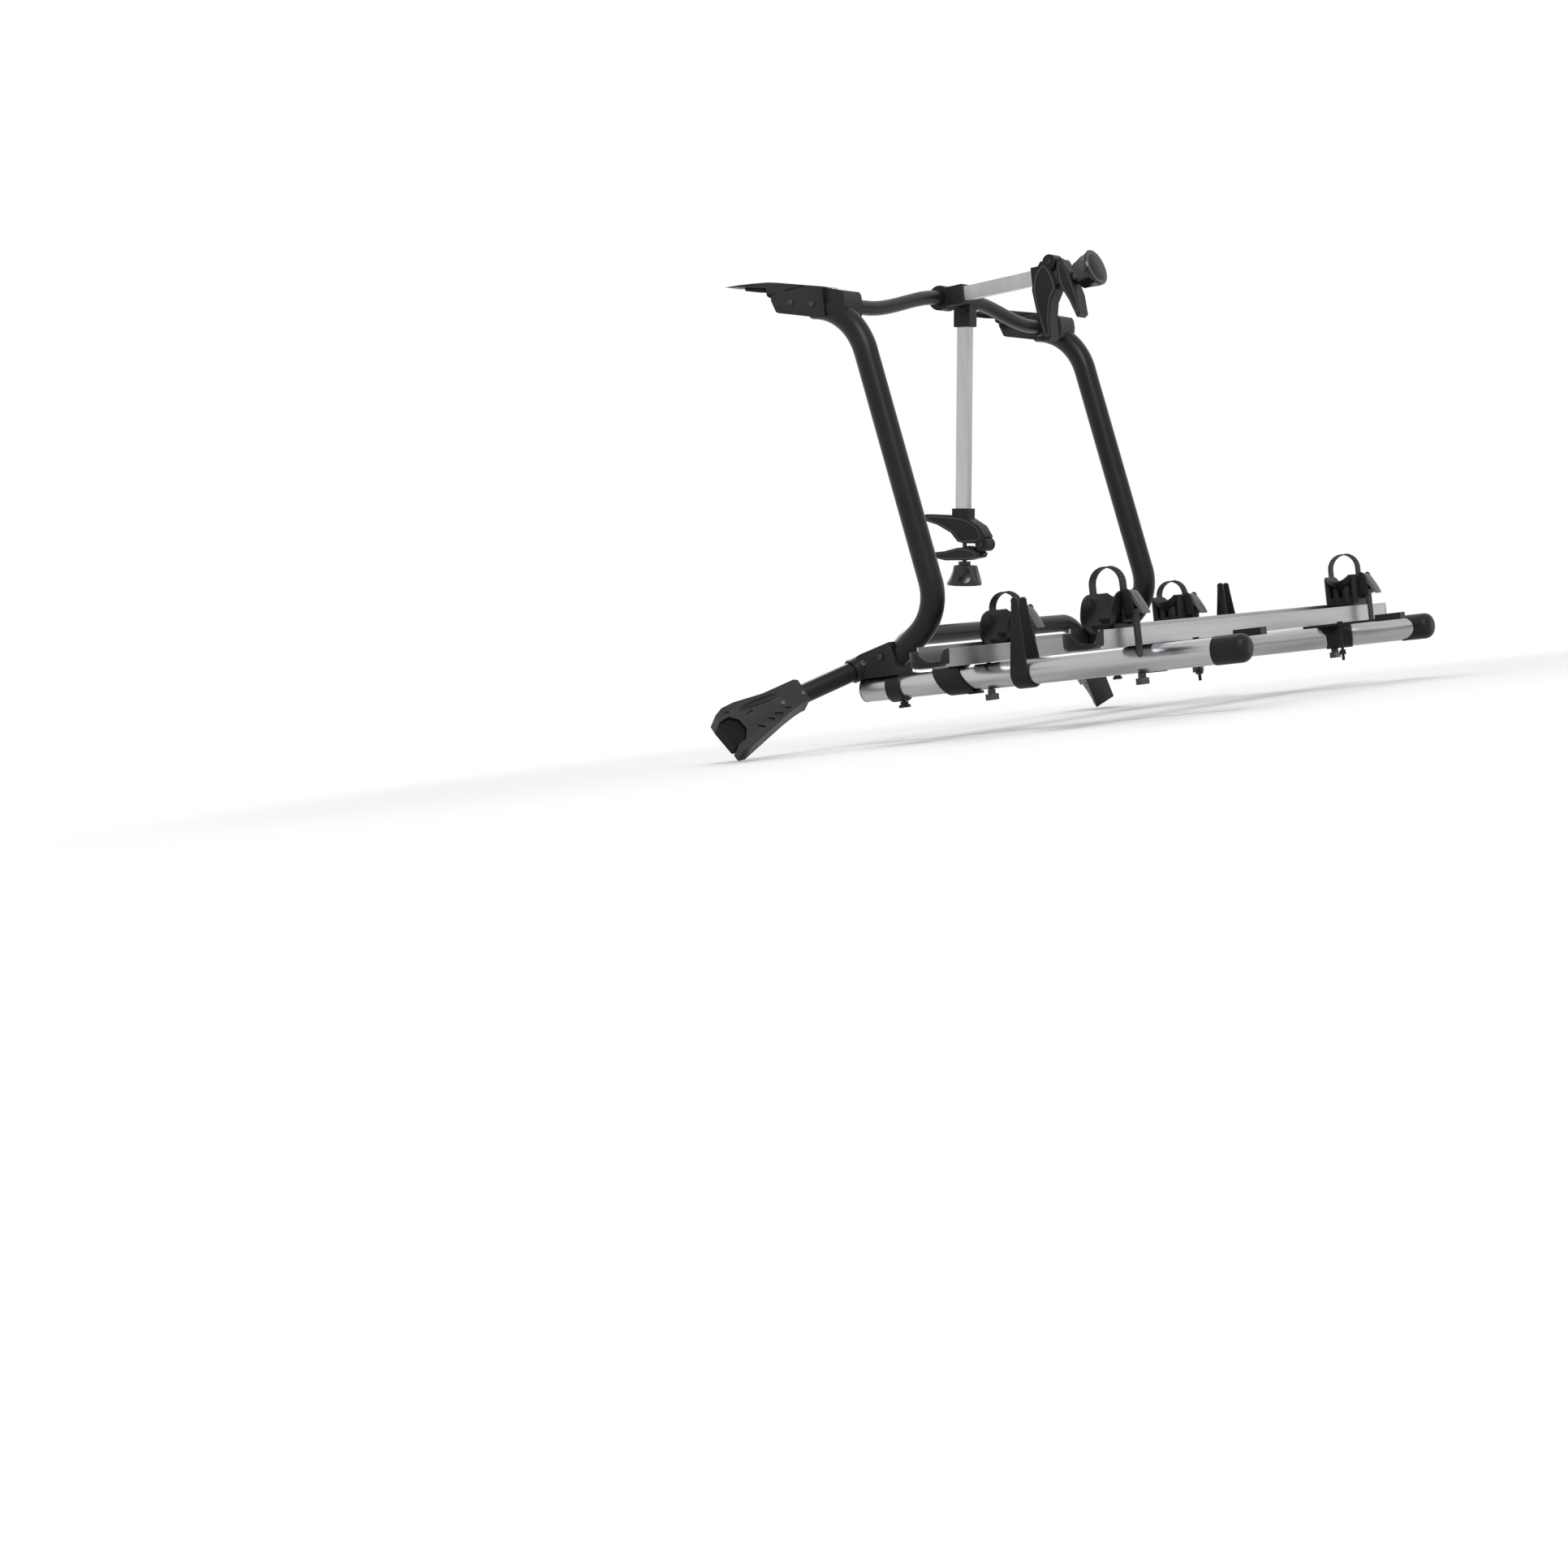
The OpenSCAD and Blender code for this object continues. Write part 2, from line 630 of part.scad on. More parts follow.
module nose_cap() color(plastic) difference() {
    translate([-rail_x, -rail_reach + cap_sleeve, 0]) rotate([90, 0, 0])
        rotate_extrude($fn = 96) {
            square([cap_r - cap_round, cap_sleeve + cap_nose]);
            square([cap_r, cap_sleeve + cap_nose - cap_round]);
            translate([cap_r - cap_round, cap_sleeve + cap_nose - cap_round])
                intersection() {
                    circle(cap_round, $fn = 64);
                    square(cap_round);
                }
        }
    rod_y(-rail_x, -rail_reach - seat_gap, 0, 2 * cap_sleeve, rail_d + 2 * seat_gap);
    translate([-rail_x + cap_cut_x, -rail_reach + cap_sleeve, -rail_d])
        rotate([0, 0, cap_cut_slant])
        box(0, -rail_d, 0, 2 * rail_d, 2 * rail_d, 2 * rail_d);
}

// Clips that hold the uprights when the platform is folded
clip_in = rail_r + run_gap;
clip_tip_r = clip_ear_w / 2;
function clip_prong(tip_y) = [
    [clip_y - clip_w / 2, 0], [clip_y + clip_w / 2, 0],
    [tip_y + clip_tip_r, clip_z], [tip_y - clip_tip_r, clip_z]
];
module upright_clip() color(plastic) {
    difference() {
        rod_y(-rail_x, clip_y - clip_w / 2, 0, clip_w, 2 * (clip_in + clip_t));
        rod_y(-rail_x, clip_y - clip_w, 0, 2 * clip_w, 2 * clip_in);
        box(-rail_x - rail_d, clip_y - clip_w, 0, 2 * rail_d, 2 * clip_w, rail_d);
    }
    for (s = [-1, 1]) {
        tip_y = clip_y + s * clip_stagger / 2;
        side_plane(-rail_x + s * (clip_in + clip_t / 2) - clip_t / 2) linear_extrude(clip_t) {
            polygon(clip_prong(tip_y));
            translate([tip_y, clip_z]) circle(clip_tip_r, $fn = 48);
        }
    }
}

// Saddle brackets on the inboard side of the rails
saddle_out = rail_r + saddle_wall;
saddle_shares = [
    [0.04, 1], [0.30, 0.78], [0.42, 0.50], [0.34, 0.20], [0.06, 0],
    [0.90, 0], [1, 0.20], [0.96, 0.62], [0.90, 1]
];
plate_shares = [[0.50, 0.30], [0.88, 0.30], [0.94, 0.66], [0.56, 0.66]];
module saddle_outline(shares) translate([outer_y + saddle_y, -saddle_out]) mirror([1, 0, 0])
    polygon(sized(shares, saddle_l, 2 * saddle_out));
module saddle_bracket() color(plastic) difference() {
    intersection() {
        union() {
            rod_y(-rail_x, outer_y - saddle_l, 0, 2 * saddle_l, 2 * saddle_out);
            side_plane(-rail_x + saddle_out - plate_t) linear_extrude(2 * plate_t)
                saddle_outline(plate_shares);
        }
        side_plane(-rail_x + knob_stem_d / 2 + 2 * overrun) linear_extrude(rail_d)
            saddle_outline(saddle_shares);
    }
    rod_y(-rail_x, outer_y - 2 * saddle_l, 0, 4 * saddle_l, rail_d + 2 * seat_gap);
    box(-rail_x - rail_d, outer_y - 2 * saddle_l, tray_z - run_gap, 3 * rail_d,
        4 * saddle_l, rail_d);
}

// Trays
tray_left = tray_shift - tray_l / 2;
tray_right = tray_shift + tray_l / 2;
bead_h = 5;
bead_t = 1.5;
floor_skin = 2.5;
module tray_section() {
    difference() {
        translate([-tray_w / 2, tray_z]) square([tray_w, tray_h]);
        translate([-tray_inside / 2, floor_z]) square([tray_inside, 2 * tray_h]);
        translate([-slot_head_w / 2, tray_z + floor_skin])
            square([slot_head_w, tray_floor - 2 * floor_skin]);
        translate([-slot_w / 2, tray_z - overrun]) square([slot_w, tray_floor / 2]);
    }
}
module tray(y) color(silver) side_plane(tray_left) translate([y, 0]) linear_extrude(tray_l) {
    tray_section();
    translate([tray_w / 2 - tray_wall, floor_z])
        square([tray_wall, wall_top - floor_z]);
    for (s = [-1, 1]) translate([s * (tray_w / 2 - bead_t / 2) - bead_t, tray_z + tray_h - bead_h])
        square([2 * bead_t, bead_h]);
}
bowl_out_w = tray_w + 2 * bead_t;
bowl_z = tray_z + overrun;
bowl_dip = 29;
module bowl_plan(inset) {
    translate([-bowl_l + bowl_out_w / 2, 0]) circle(bowl_out_w / 2 - inset, $fn = 64);
    translate([-bowl_l + bowl_out_w / 2, -bowl_out_w / 2 + inset])
        square([bowl_l - bowl_out_w / 2 + inset, bowl_out_w - 2 * inset]);
}
module tray_end_caps(y) color(plastic) {
    difference() {
        translate([tray_left, y, bowl_z]) linear_extrude(tray_h - overrun) intersection() {
            bowl_plan(0);
            translate([-2 * bowl_l, -bowl_out_w]) square([2 * bowl_l, 2 * bowl_out_w]);
        }
        translate([tray_left, y, bowl_z + bowl_wall]) linear_extrude(2 * tray_h)
            bowl_plan(bowl_wall);
        rod_y(tray_left - bowl_l + bowl_dip / 2, y - tray_w, bowl_z + tray_h, 2 * tray_w,
              2 * bowl_dip);
    }
    side_plane(tray_right) translate([y, 0]) linear_extrude(plug_t)
        translate([0, tray_z + tray_h / 2]) soft_rect(tray_w, tray_h, tray_h / 4);
}

// Tray knobs with their T-bolts
tbolt_head_d = 15;
tbolt_head_h = 3.5;
module tray_knob(side, y) color(blue_grey) {
    x = side * rail_x;
    top = -rail_r - run_gap;
    rod_z(x, y, top - knob_stem_l, knob_stem_l, knob_stem_d);
    translate([x, y, top - knob_stem_l - knob_head_h]) linear_extrude(knob_head_h)
        soft_rect(knob_head_l, knob_head_w, knob_head_w / 3);
    rod_z(x, y, top - overrun, tray_z + floor_skin + run_gap - top + 2 * overrun, tbolt_d);
    rod_z(x, y, tray_z + floor_skin + run_gap, tbolt_head_h, tbolt_head_d);
}

// Wheel holders: the groove is the tyre's own ring
holder_low_w = tray_inside - 2 * run_gap;
shoulder_w = 8;
shoulder_l = 36;
ear_l = 34;
buckle_w = 36;
buckle_d = 20;
buckle_z = 84;
buckle_h = 20;
lever_pin_y = 44;
lever_pin_z = 121;
lever_boss_r = 6;
lever_ear_t = 4;
arch_foot_z = holder_z;
function strap_line(arch_z) = [
    [-arch_r, arch_z - arch_r - strap_t / 2], [-arch_r, holder_z - strap_t],
    [-tail_y, holder_z - 3 * strap_t - tail_y + arch_r], [-tail_y, tail_z]
];
// Flat band through plan points
module band(p, t) for (i = [0:len(p) - 2]) {
    h = heading(p[i], p[i + 1]);
    translate(p[i]) rotate(h) translate([0, -t / 2]) square([norm(p[i + 1] - p[i]), t]);
    translate(p[i + 1]) circle(d = t, $fn = 24);
}
module strap_outline(arch_z, t) {
    centre_z = arch_z - arch_r - strap_t / 2;
    translate([0, centre_z]) difference() {
        circle(arch_r + t / 2, $fn = 96);
        circle(arch_r - t / 2, $fn = 96);
        translate([-2 * arch_r, -2 * arch_r]) square([4 * arch_r, 2 * arch_r]);
    }
    translate([arch_r - t / 2, arch_foot_z]) square([t, centre_z - arch_foot_z]);
    band(strap_line(arch_z), t);
}
module wheel_strap(x, y, arch_z) color(plastic) side_plate(x, strap_w) translate([y, 0])
    strap_outline(arch_z, strap_t);
module tyre_ring(x, y, dir) translate([x + dir * axle_dx, y, floor_z + wheel_r])
    rotate([90, 0, 0]) rotate_extrude($fn = 180) translate([wheel_r - tyre_r, 0])
    circle(tyre_r, $fn = 64);
module wheel_holder(x, y, dir, arch_z) color(plastic) difference() {
    union() {
        side_plate(x, holder_l) translate([y, 0]) {
            translate([-holder_low_w / 2, floor_z + run_gap])
                square([holder_low_w, holder_z - floor_z - run_gap]);
            translate([0, (wall_top + overrun + holder_z) / 2])
                soft_rect(holder_w, holder_z - wall_top - overrun, 4 * overrun);
        }
        side_plate(x - dir * (holder_l - ear_l) / 2, ear_l) translate([y, 0])
            translate([holder_w / 2 - shoulder_w, wall_top + overrun])
            square([shoulder_w, shoulder_z - wall_top - 2 * overrun]);
        side_plate(x, shoulder_l) translate([y, 0])
            translate([-holder_w / 2, wall_top + overrun])
            square([shoulder_w, shoulder_z - wall_top]);
        side_plate(x, buckle_w) translate([y, 0])
            translate([-holder_w / 2 - buckle_d, buckle_z])
            square([buckle_d + shoulder_w, buckle_h]);
        for (s = [-1, 1])
            side_plate(x + s * (buckle_w - lever_ear_t) / 2, lever_ear_t) translate([y, 0]) {
                translate([-lever_pin_y, lever_pin_z]) circle(lever_boss_r, $fn = 32);
                translate([-lever_pin_y - lever_boss_r, buckle_z + buckle_h - overrun])
                    square([2 * lever_boss_r, lever_pin_z - buckle_z - buckle_h + overrun]);
            }
    }
    tyre_ring(x, y, dir);
    side_plate(x, strap_w + 2 * run_gap) translate([y, 0])
        band(strap_line(arch_z), strap_t + 2 * run_gap);
    side_plate(x, buckle_w - 2 * lever_ear_t) translate([y - lever_pin_y, lever_pin_z])
        circle(lever_boss_r + 2 * run_gap, $fn = 32);
}
lever_w = buckle_w - 2 * lever_ear_t - 2 * run_gap;
module ratchet_lever(x, y) color(grey) side_plate(x, lever_w)
    translate([y - lever_pin_y, lever_pin_z]) {
        circle(lever_boss_r, $fn = 32);
        rotate(-90 - lever_lean) translate([0, -lever_boss_r]) {
            square([lever_l - lever_t / 2, lever_t]);
            translate([lever_l - lever_t / 2, lever_t / 2]) circle(lever_t / 2, $fn = 24);
        }
    }

function holder_x(side, inner) =
    side * (inner ? rail_x - strap_inner_x : rail_x + strap_outer_x);
function holder_y(inner) = inner ? 0 : outer_y;
function arch_top(inner) = inner ? arch_inner_z : arch_outer_z;
module holder_at(side, inner)
    wheel_holder(holder_x(side, inner), holder_y(inner), side, arch_top(inner));
module strap_at(side, inner)
    wheel_strap(holder_x(side, inner), holder_y(inner), arch_top(inner));
module lever_at(side, inner) ratchet_lever(holder_x(side, inner), holder_y(inner));

// Lamp brackets under the outer tray
lamp_bolt_d = 6;
lamp_nut_h = 10;
lamp_nut_w = 22;
lamp_nut_z = -30;
lamp_tip = 12;
lamp_under = 44;
lamp_place_x = rail_x - lamp_x;
lamp_bar_y = outer_y - tray_w / 2 - lamp_bar_l + lamp_under;
module lamp_bracket() color(plastic) difference() {
    union() {
        box(-lamp_place_x - lamp_w / 2, lamp_bar_y, tray_z - lamp_t, lamp_w, lamp_bar_l, lamp_t);
        box(-lamp_place_x - lamp_w / 2, lamp_bar_y - lamp_end_l + overrun,
            tray_z - lamp_t - overrun, lamp_w, lamp_end_l, lamp_end_h);
    }
    rod_z(-lamp_place_x, outer_y - lamp_bolt_y, 0, tray_z + lamp_end_h,
          lamp_bolt_d + 2 * pin_gap);
}
module lamp_wing_nut() color(plastic) {
    tip_z = lamp_nut_z - lamp_nut_h - lamp_tip;
    wing_nut(-lamp_place_x, outer_y - lamp_bolt_y, lamp_nut_z, lamp_nut_w, lamp_nut_h,
             lamp_bolt_d);
    rod_z(-lamp_place_x, outer_y - lamp_bolt_y, tip_z, tray_z + overrun - tip_z, lamp_bolt_d);
    rod_z(-lamp_place_x, outer_y - lamp_bolt_y, tray_z + seat_gap, lamp_bolt_d / 2,
          2 * lamp_bolt_d);
}

// Bike arms: a frame at the crossbar with local X out along the arm's bar
neck_l = 34;
neck_wall = 5;
bar_in = 26;
neck_start = arm_base_r - neck_wall;
bar_start = neck_start + neck_l - bar_in + seat_gap;
socket_wall = 5;
bar_socket_l = 26;
// Place along the crossbar, lean, bar length, turn of the clamp, place of the bar's end
inner_arm = [arm_in_x, arm_in_lean, arm_in_l, 0, 56, 36];
outer_arm = [arm_out_x, -90, arm_out_l, -14, 18.6, 9.4];
module arm_frame(a) translate([a[0], top_bar_y, top_bar_mid_z])
    rotate([a[1], 0, 0]) rotate([0, 90, 0]) children();
module clamp_frame(a) arm_frame(a) translate([a[2], 0, 0]) rotate([0, 0, 90 + a[3]])
    translate([-a[4], -a[5], 0]) children();
module bar_box(start, l, extra)
    box(start, -arm_bar_w / 2 - extra, -arm_bar_d / 2 - extra, l - start + extra,
        arm_bar_w + 2 * extra, arm_bar_d + 2 * extra);
module arm_bar(a) color(silver) arm_frame(a) bar_box(bar_start, a[2], 0);
// Base that turns on the crossbar, which runs along local Z
module arm_base(a) color(plastic) arm_frame(a) difference() {
    union() {
        cylinder(h = arm_base_w, r = arm_base_r, center = true, $fn = 96);
        bar_box(neck_start - neck_wall, neck_start + neck_l - neck_wall, neck_wall);
    }
    cylinder(h = 2 * arm_base_w, d = top_bar_d + 2 * pin_gap, center = true, $fn = 96);
    bar_box(bar_start - seat_gap, 2 * neck_start + neck_l, seat_gap);
}

// Clamp in its own frame: local X to the mouth, local Y to the bar's side, hinge on Z
jaw_shares = [
    [-0.06, 0.05], [0.04, 0.55], [0.25, 0.95], [0.55, 1.08], [0.95, 1.12], [1, 1],
    [0.97, 0.80], [0.75, 0.60], [0.52, 0.22], [0.40, -0.22], [0.30, -0.30],
    [0.12, -0.30], [0, -0.34]
];
strap_shares = [
    [0.14, -0.58], [0.30, -0.50], [0.40, -0.52], [0.62, -0.70], [0.88, -0.80],
    [0.86, -1], [0.60, -1.16], [0.25, -1.13], [0.05, -0.98], [0.02, -0.78]
];
web_shares = [[0, -0.34], [0.10, -0.34], [0.20, -0.60], [0.10, -1], [0.01, -0.85]];
hinge_share = -0.34;
knob_share = -1.2;
spindle_top_share = 0.40;
knob_neck_d = 24;
knob_neck_l = 12;
knob_top_d = 46;
knob_rim = 5;
hinge_pin_d = 8;
strap_slot_l = 26;
clamp_hinge_r = clamp_boss_d / 2;
clamp_hinge_y = jaw_h * hinge_share;
knob_top_y = jaw_h * knob_share;
spindle_top_y = jaw_h * spindle_top_share;
module clamp_plate(w) translate([0, 0, -w / 2]) linear_extrude(w) children();
module hinge_disc(w, r) translate([0, clamp_hinge_y, 0])
    cylinder(h = w, r = r, center = true, $fn = 64);
module clamp_jaw(a) color(plastic) difference() {
    union() {
        clamp_frame(a) clamp_plate(jaw_w) polygon(sized(jaw_shares, clamp_l, jaw_h));
        clamp_frame(a) hinge_disc(jaw_w, clamp_hinge_r);
        arm_frame(a) bar_box(a[2] - bar_socket_l, a[2], socket_wall);
    }
    arm_frame(a) bar_box(bar_start, a[2], seat_gap);
    clamp_frame(a) {
        hinge_disc(jaw_w / 3 + 2 * run_gap, clamp_hinge_r + run_gap);
        hinge_disc(2 * jaw_w, hinge_pin_d / 2 + pin_gap);
        translate([spindle_x, spindle_top_y + overrun, 0]) rotate([90, 0, 0])
            cylinder(h = 2 * jaw_h, d = spindle_d + 2 * pin_gap, $fn = 48);
    }
}
module clamp_strap(a) color(plastic) clamp_frame(a) difference() {
    union() {
        difference() {
            clamp_plate(jaw_w) polygon(sized(strap_shares, clamp_l, jaw_h));
            hinge_disc(2 * jaw_w, clamp_hinge_r + run_gap);
        }
        hinge_disc(jaw_w / 3, clamp_hinge_r);
        hinge_disc(jaw_w, hinge_pin_d / 2);
        clamp_plate(jaw_w / 3) polygon(sized(web_shares, clamp_l, jaw_h));
    }
    box(spindle_x - strap_slot_l / 2, 2 * knob_top_y, -spindle_d / 2 - 2 * overrun,
        strap_slot_l, -2 * knob_top_y, spindle_d + 4 * overrun);
}
module clamp_knob(a) color(plastic) clamp_frame(a)
    translate([spindle_x, knob_top_y, 0]) rotate([90, 0, 0]) {
    rotate_extrude($fn = 96) polygon([
        [0, 0], [knob_neck_d / 2, 0], [knob_neck_d / 2, knob_neck_l],
        [knob_top_d / 2, knob_neck_l + overrun], [clamp_knob_d / 2, clamp_knob_h - knob_rim],
        [clamp_knob_d / 2, clamp_knob_h], [0, clamp_knob_h]
    ]);
    translate([0, 0, knob_top_y - spindle_top_y])
        cylinder(h = spindle_top_y - knob_top_y + knob_neck_l, d = spindle_d, $fn = 48);
}

// Claws and strut tubes in the strut's own frame
module strut_tube() color(black) strut_frame() difference() {
    rod_x(-strut_in, 0, 0, strut_l, strut_d);
    rod_x(-strut_in - overrun, 0, 0, strut_l + 2 * overrun, strut_d - 2 * strut_wall);
}
claw_shares = [
    [0, -0.24], [0, 0.22], [0.04, 0.27], [0.42, 0.27], [0.75, 0.35], [0.90, 0.34],
    [1, 0.25], [1, 0.09], [0.88, 0.12], [0.80, -0.02], [0.78, -0.25], [0.85, -0.43],
    [0.95, -0.47], [0.945, -0.61], [0.87, -0.64], [0.61, -0.50], [0.32, -0.34],
    [0.16, -0.27], [0.06, -0.24]
];
claw_pad_shares = [
    [1.02, 0.07], [1, 0.087], [0.8815, 0.1165], [0.8015, -0.021], [0.7815, -0.249],
    [0.8515, -0.427], [0.95, -0.466], [0.98, -0.46]
];
claw_bore = strut_l - strut_in - claw_start;
module claw() color(black) strut_frame() difference() {
    translate([claw_start, 0, -claw_t / 2]) linear_extrude(claw_t)
        polygon(sized(claw_shares, claw_l, claw_h));
    rod_x(claw_start - overrun, 0, 0, claw_bore + overrun + seat_gap,
          strut_d + 2 * seat_gap);
}
module claw_pad() color(rubber) strut_frame()
    translate([claw_start, 0, -claw_pad_w / 2]) linear_extrude(claw_pad_w)
        polygon(sized(claw_pad_shares, claw_l, claw_h));

on_side(-1) upright();  // upright_left
on_side(1) upright();  // upright_right
on_side(-1) hook_bracket();  // hook_bracket_left
on_side(1) hook_bracket();  // hook_bracket_right
for (s = [-1, 1]) on_side(s) hook_pad();  // hook_pads
for (s = [-1, 1]) on_side(s) hook_bolt_set();  // hook_bolts
for (s = [-1, 1]) on_side(s) crossbar_clamp();  // crossbar_clamps
top_crossbar();
lower_crossbar();
on_side(-1) joint_bracket();  // joint_bracket_left
on_side(1) joint_bracket();  // joint_bracket_right
for (s = [-1, 1]) on_side(s) rail_stub();  // rail_stubs
for (s = [-1, 1]) on_side(s) fold_collar();  // fold_collars
for (s = [-1, 1]) on_side(s) fold_pin();  // fold_pins
on_side(-1) joint_wing_nut();  // joint_wing_nut_left
on_side(1) joint_wing_nut();  // joint_wing_nut_right
on_side(-1) strut_tube();  // strut_tube_left
on_side(1) strut_tube();  // strut_tube_right
on_side(-1) claw();  // claw_left
on_side(1) claw();  // claw_right
on_side(-1) claw_pad();  // claw_pad_left
on_side(1) claw_pad();  // claw_pad_right
on_side(-1) rail();  // rail_left
on_side(1) rail();  // rail_right
for (s = [-1, 1]) on_side(s) rail_knuckle();  // rail_knuckles
for (s = [-1, 1]) on_side(s) nose_cap();  // nose_caps
for (x = [0, rail_gap]) translate([x, 0, 0]) upright_clip();  // upright_clips
for (s = [-1, 1]) on_side(s) saddle_bracket();  // saddle_brackets
tray(0);  // tray_inner
tray(outer_y);  // tray_outer
tray_end_caps(0);  // tray_inner_caps
tray_end_caps(outer_y);  // tray_outer_caps
tray_knob(-1, 0);  // tray_knob_inner_left
tray_knob(1, 0);  // tray_knob_inner_right
tray_knob(-1, outer_y);  // tray_knob_outer_left
tray_knob(1, outer_y);  // tray_knob_outer_right
holder_at(-1, true);  // wheel_holder_inner_left
holder_at(1, true);  // wheel_holder_inner_right
holder_at(-1, false);  // wheel_holder_outer_left
holder_at(1, false);  // wheel_holder_outer_right
strap_at(-1, true);  // wheel_strap_inner_left
strap_at(1, true);  // wheel_strap_inner_right
strap_at(-1, false);  // wheel_strap_outer_left
strap_at(1, false);  // wheel_strap_outer_right
lever_at(-1, true);  // ratchet_lever_inner_left
lever_at(1, true);  // ratchet_lever_inner_right
lever_at(-1, false);  // ratchet_lever_outer_left
lever_at(1, false);  // ratchet_lever_outer_right
for (s = [-1, 1]) on_side(s) lamp_bracket();  // lamp_brackets
for (s = [-1, 1]) on_side(s) lamp_wing_nut();  // lamp_wing_nuts
arm_base(inner_arm);  // arm_base_inner
arm_bar(inner_arm);  // arm_bar_inner
clamp_jaw(inner_arm);  // clamp_jaw_inner
clamp_strap(inner_arm);  // clamp_strap_inner
clamp_knob(inner_arm);  // clamp_knob_inner
arm_base(outer_arm);  // arm_base_outer
arm_bar(outer_arm);  // arm_bar_outer
clamp_jaw(outer_arm);  // clamp_jaw_outer
clamp_strap(outer_arm);  // clamp_strap_outer
clamp_knob(outer_arm);  // clamp_knob_outer
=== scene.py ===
"""Looks of the motorhome bike rack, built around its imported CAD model."""

import json
from math import acos, asin, copysign, cos, pi, radians, sin, sqrt, tan

import bmesh
import bpy
from mathutils import Matrix, Vector


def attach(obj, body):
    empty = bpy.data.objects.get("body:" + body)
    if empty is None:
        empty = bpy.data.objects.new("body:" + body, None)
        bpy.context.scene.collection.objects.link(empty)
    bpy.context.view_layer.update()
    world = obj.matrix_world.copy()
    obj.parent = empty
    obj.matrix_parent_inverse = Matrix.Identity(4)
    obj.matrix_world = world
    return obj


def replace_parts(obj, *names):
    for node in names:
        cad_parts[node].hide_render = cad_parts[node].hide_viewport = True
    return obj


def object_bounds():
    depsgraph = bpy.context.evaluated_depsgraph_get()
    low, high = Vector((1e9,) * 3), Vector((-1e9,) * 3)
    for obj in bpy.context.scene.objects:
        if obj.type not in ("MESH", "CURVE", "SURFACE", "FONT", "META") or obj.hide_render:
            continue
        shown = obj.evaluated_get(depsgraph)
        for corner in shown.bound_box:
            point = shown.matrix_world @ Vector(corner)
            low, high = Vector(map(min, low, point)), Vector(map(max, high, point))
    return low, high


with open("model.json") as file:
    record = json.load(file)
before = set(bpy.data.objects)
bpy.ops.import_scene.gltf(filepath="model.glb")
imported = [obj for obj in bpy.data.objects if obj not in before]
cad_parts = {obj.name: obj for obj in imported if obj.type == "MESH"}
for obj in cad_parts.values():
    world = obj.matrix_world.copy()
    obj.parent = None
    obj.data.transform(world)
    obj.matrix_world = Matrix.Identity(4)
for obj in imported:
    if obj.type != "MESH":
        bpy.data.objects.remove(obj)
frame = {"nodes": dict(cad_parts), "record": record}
cad_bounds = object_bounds()
scene = bpy.context.scene
record = frame["record"]
BODY_OF = {n: b for b, nodes in record["behaviour"]["bodies"].items() for n in nodes}
SLOT_OF = {p["node"]: p["material_slot"] for p in record["subparts"]}
SIDES = {"left": -1, "right": 1}

# Driving places of the part, in metres
RAIL_X = 0.443
RAIL_R = 0.025
TRAY_Y = {"inner": 0.0, "outer": -0.324}
BAR_Y, BAR_TOP_Z = 0.280, 0.806

# Wheel holders: name to (x, y, outboard sign, top of the strap's arch)
HOLDER_X = {"inner": 0.355, "outer": 0.538}
ARCH_TOP = {"inner": 0.160, "outer": 0.174}
HOLDERS = {
    "%s_%s" % (tray, side): (sign * HOLDER_X[tray], y, sign, ARCH_TOP[tray])
    for tray, y in TRAY_Y.items() for side, sign in SIDES.items()
}

# Degrees between faces at an edge
EDGE_ANGLE = 32


# Nodes of a material

def material(name, color, rough, metal=0.0, specular=0.5):
    """New material with its Principled shader: (material, node tree, shader)."""
    mat = bpy.data.materials.new(name)
    mat.use_nodes = True
    tree = mat.node_tree
    shader = tree.nodes["Principled BSDF"]
    shader.inputs["Base Color"].default_value = (*color, 1)
    shader.inputs["Roughness"].default_value = rough
    shader.inputs["Metallic"].default_value = metal
    shader.inputs["Specular IOR Level"].default_value = specular
    return mat, tree, shader


def noise(tree, scale, detail, stretch=(1, 1, 1)):
    """Noise from 0 to 1 on object coordinates, stretched per axis."""
    coords = tree.nodes.new("ShaderNodeTexCoord")
    mapping = tree.nodes.new("ShaderNodeMapping")
    mapping.inputs["Scale"].default_value = stretch
    node = tree.nodes.new("ShaderNodeTexNoise")
    node.inputs["Scale"].default_value = scale
    node.inputs["Detail"].default_value = detail
    tree.links.new(coords.outputs["Object"], mapping.inputs["Vector"])
    tree.links.new(mapping.outputs["Vector"], node.inputs["Vector"])
    return node.outputs["Fac"]


def ramp(tree, source, low, high, start=0.35, end=0.65):
    """Colours from low to high over a range of the source."""
    node = tree.nodes.new("ShaderNodeValToRGB")
    node.color_ramp.elements[0].position = start
    node.color_ramp.elements[0].color = (*low, 1)
    node.color_ramp.elements[1].position = end
    node.color_ramp.elements[1].color = (*high, 1)
    tree.links.new(source, node.inputs["Fac"])
    return node.outputs["Color"]


def between(tree, source, low, high):
    """Source from 0 to 1, mapped to low to high."""
    node = tree.nodes.new("ShaderNodeMapRange")
    node.inputs["To Min"].default_value = low
    node.inputs["To Max"].default_value = high
    tree.links.new(source, node.inputs["Value"])
    return node.outputs["Result"]


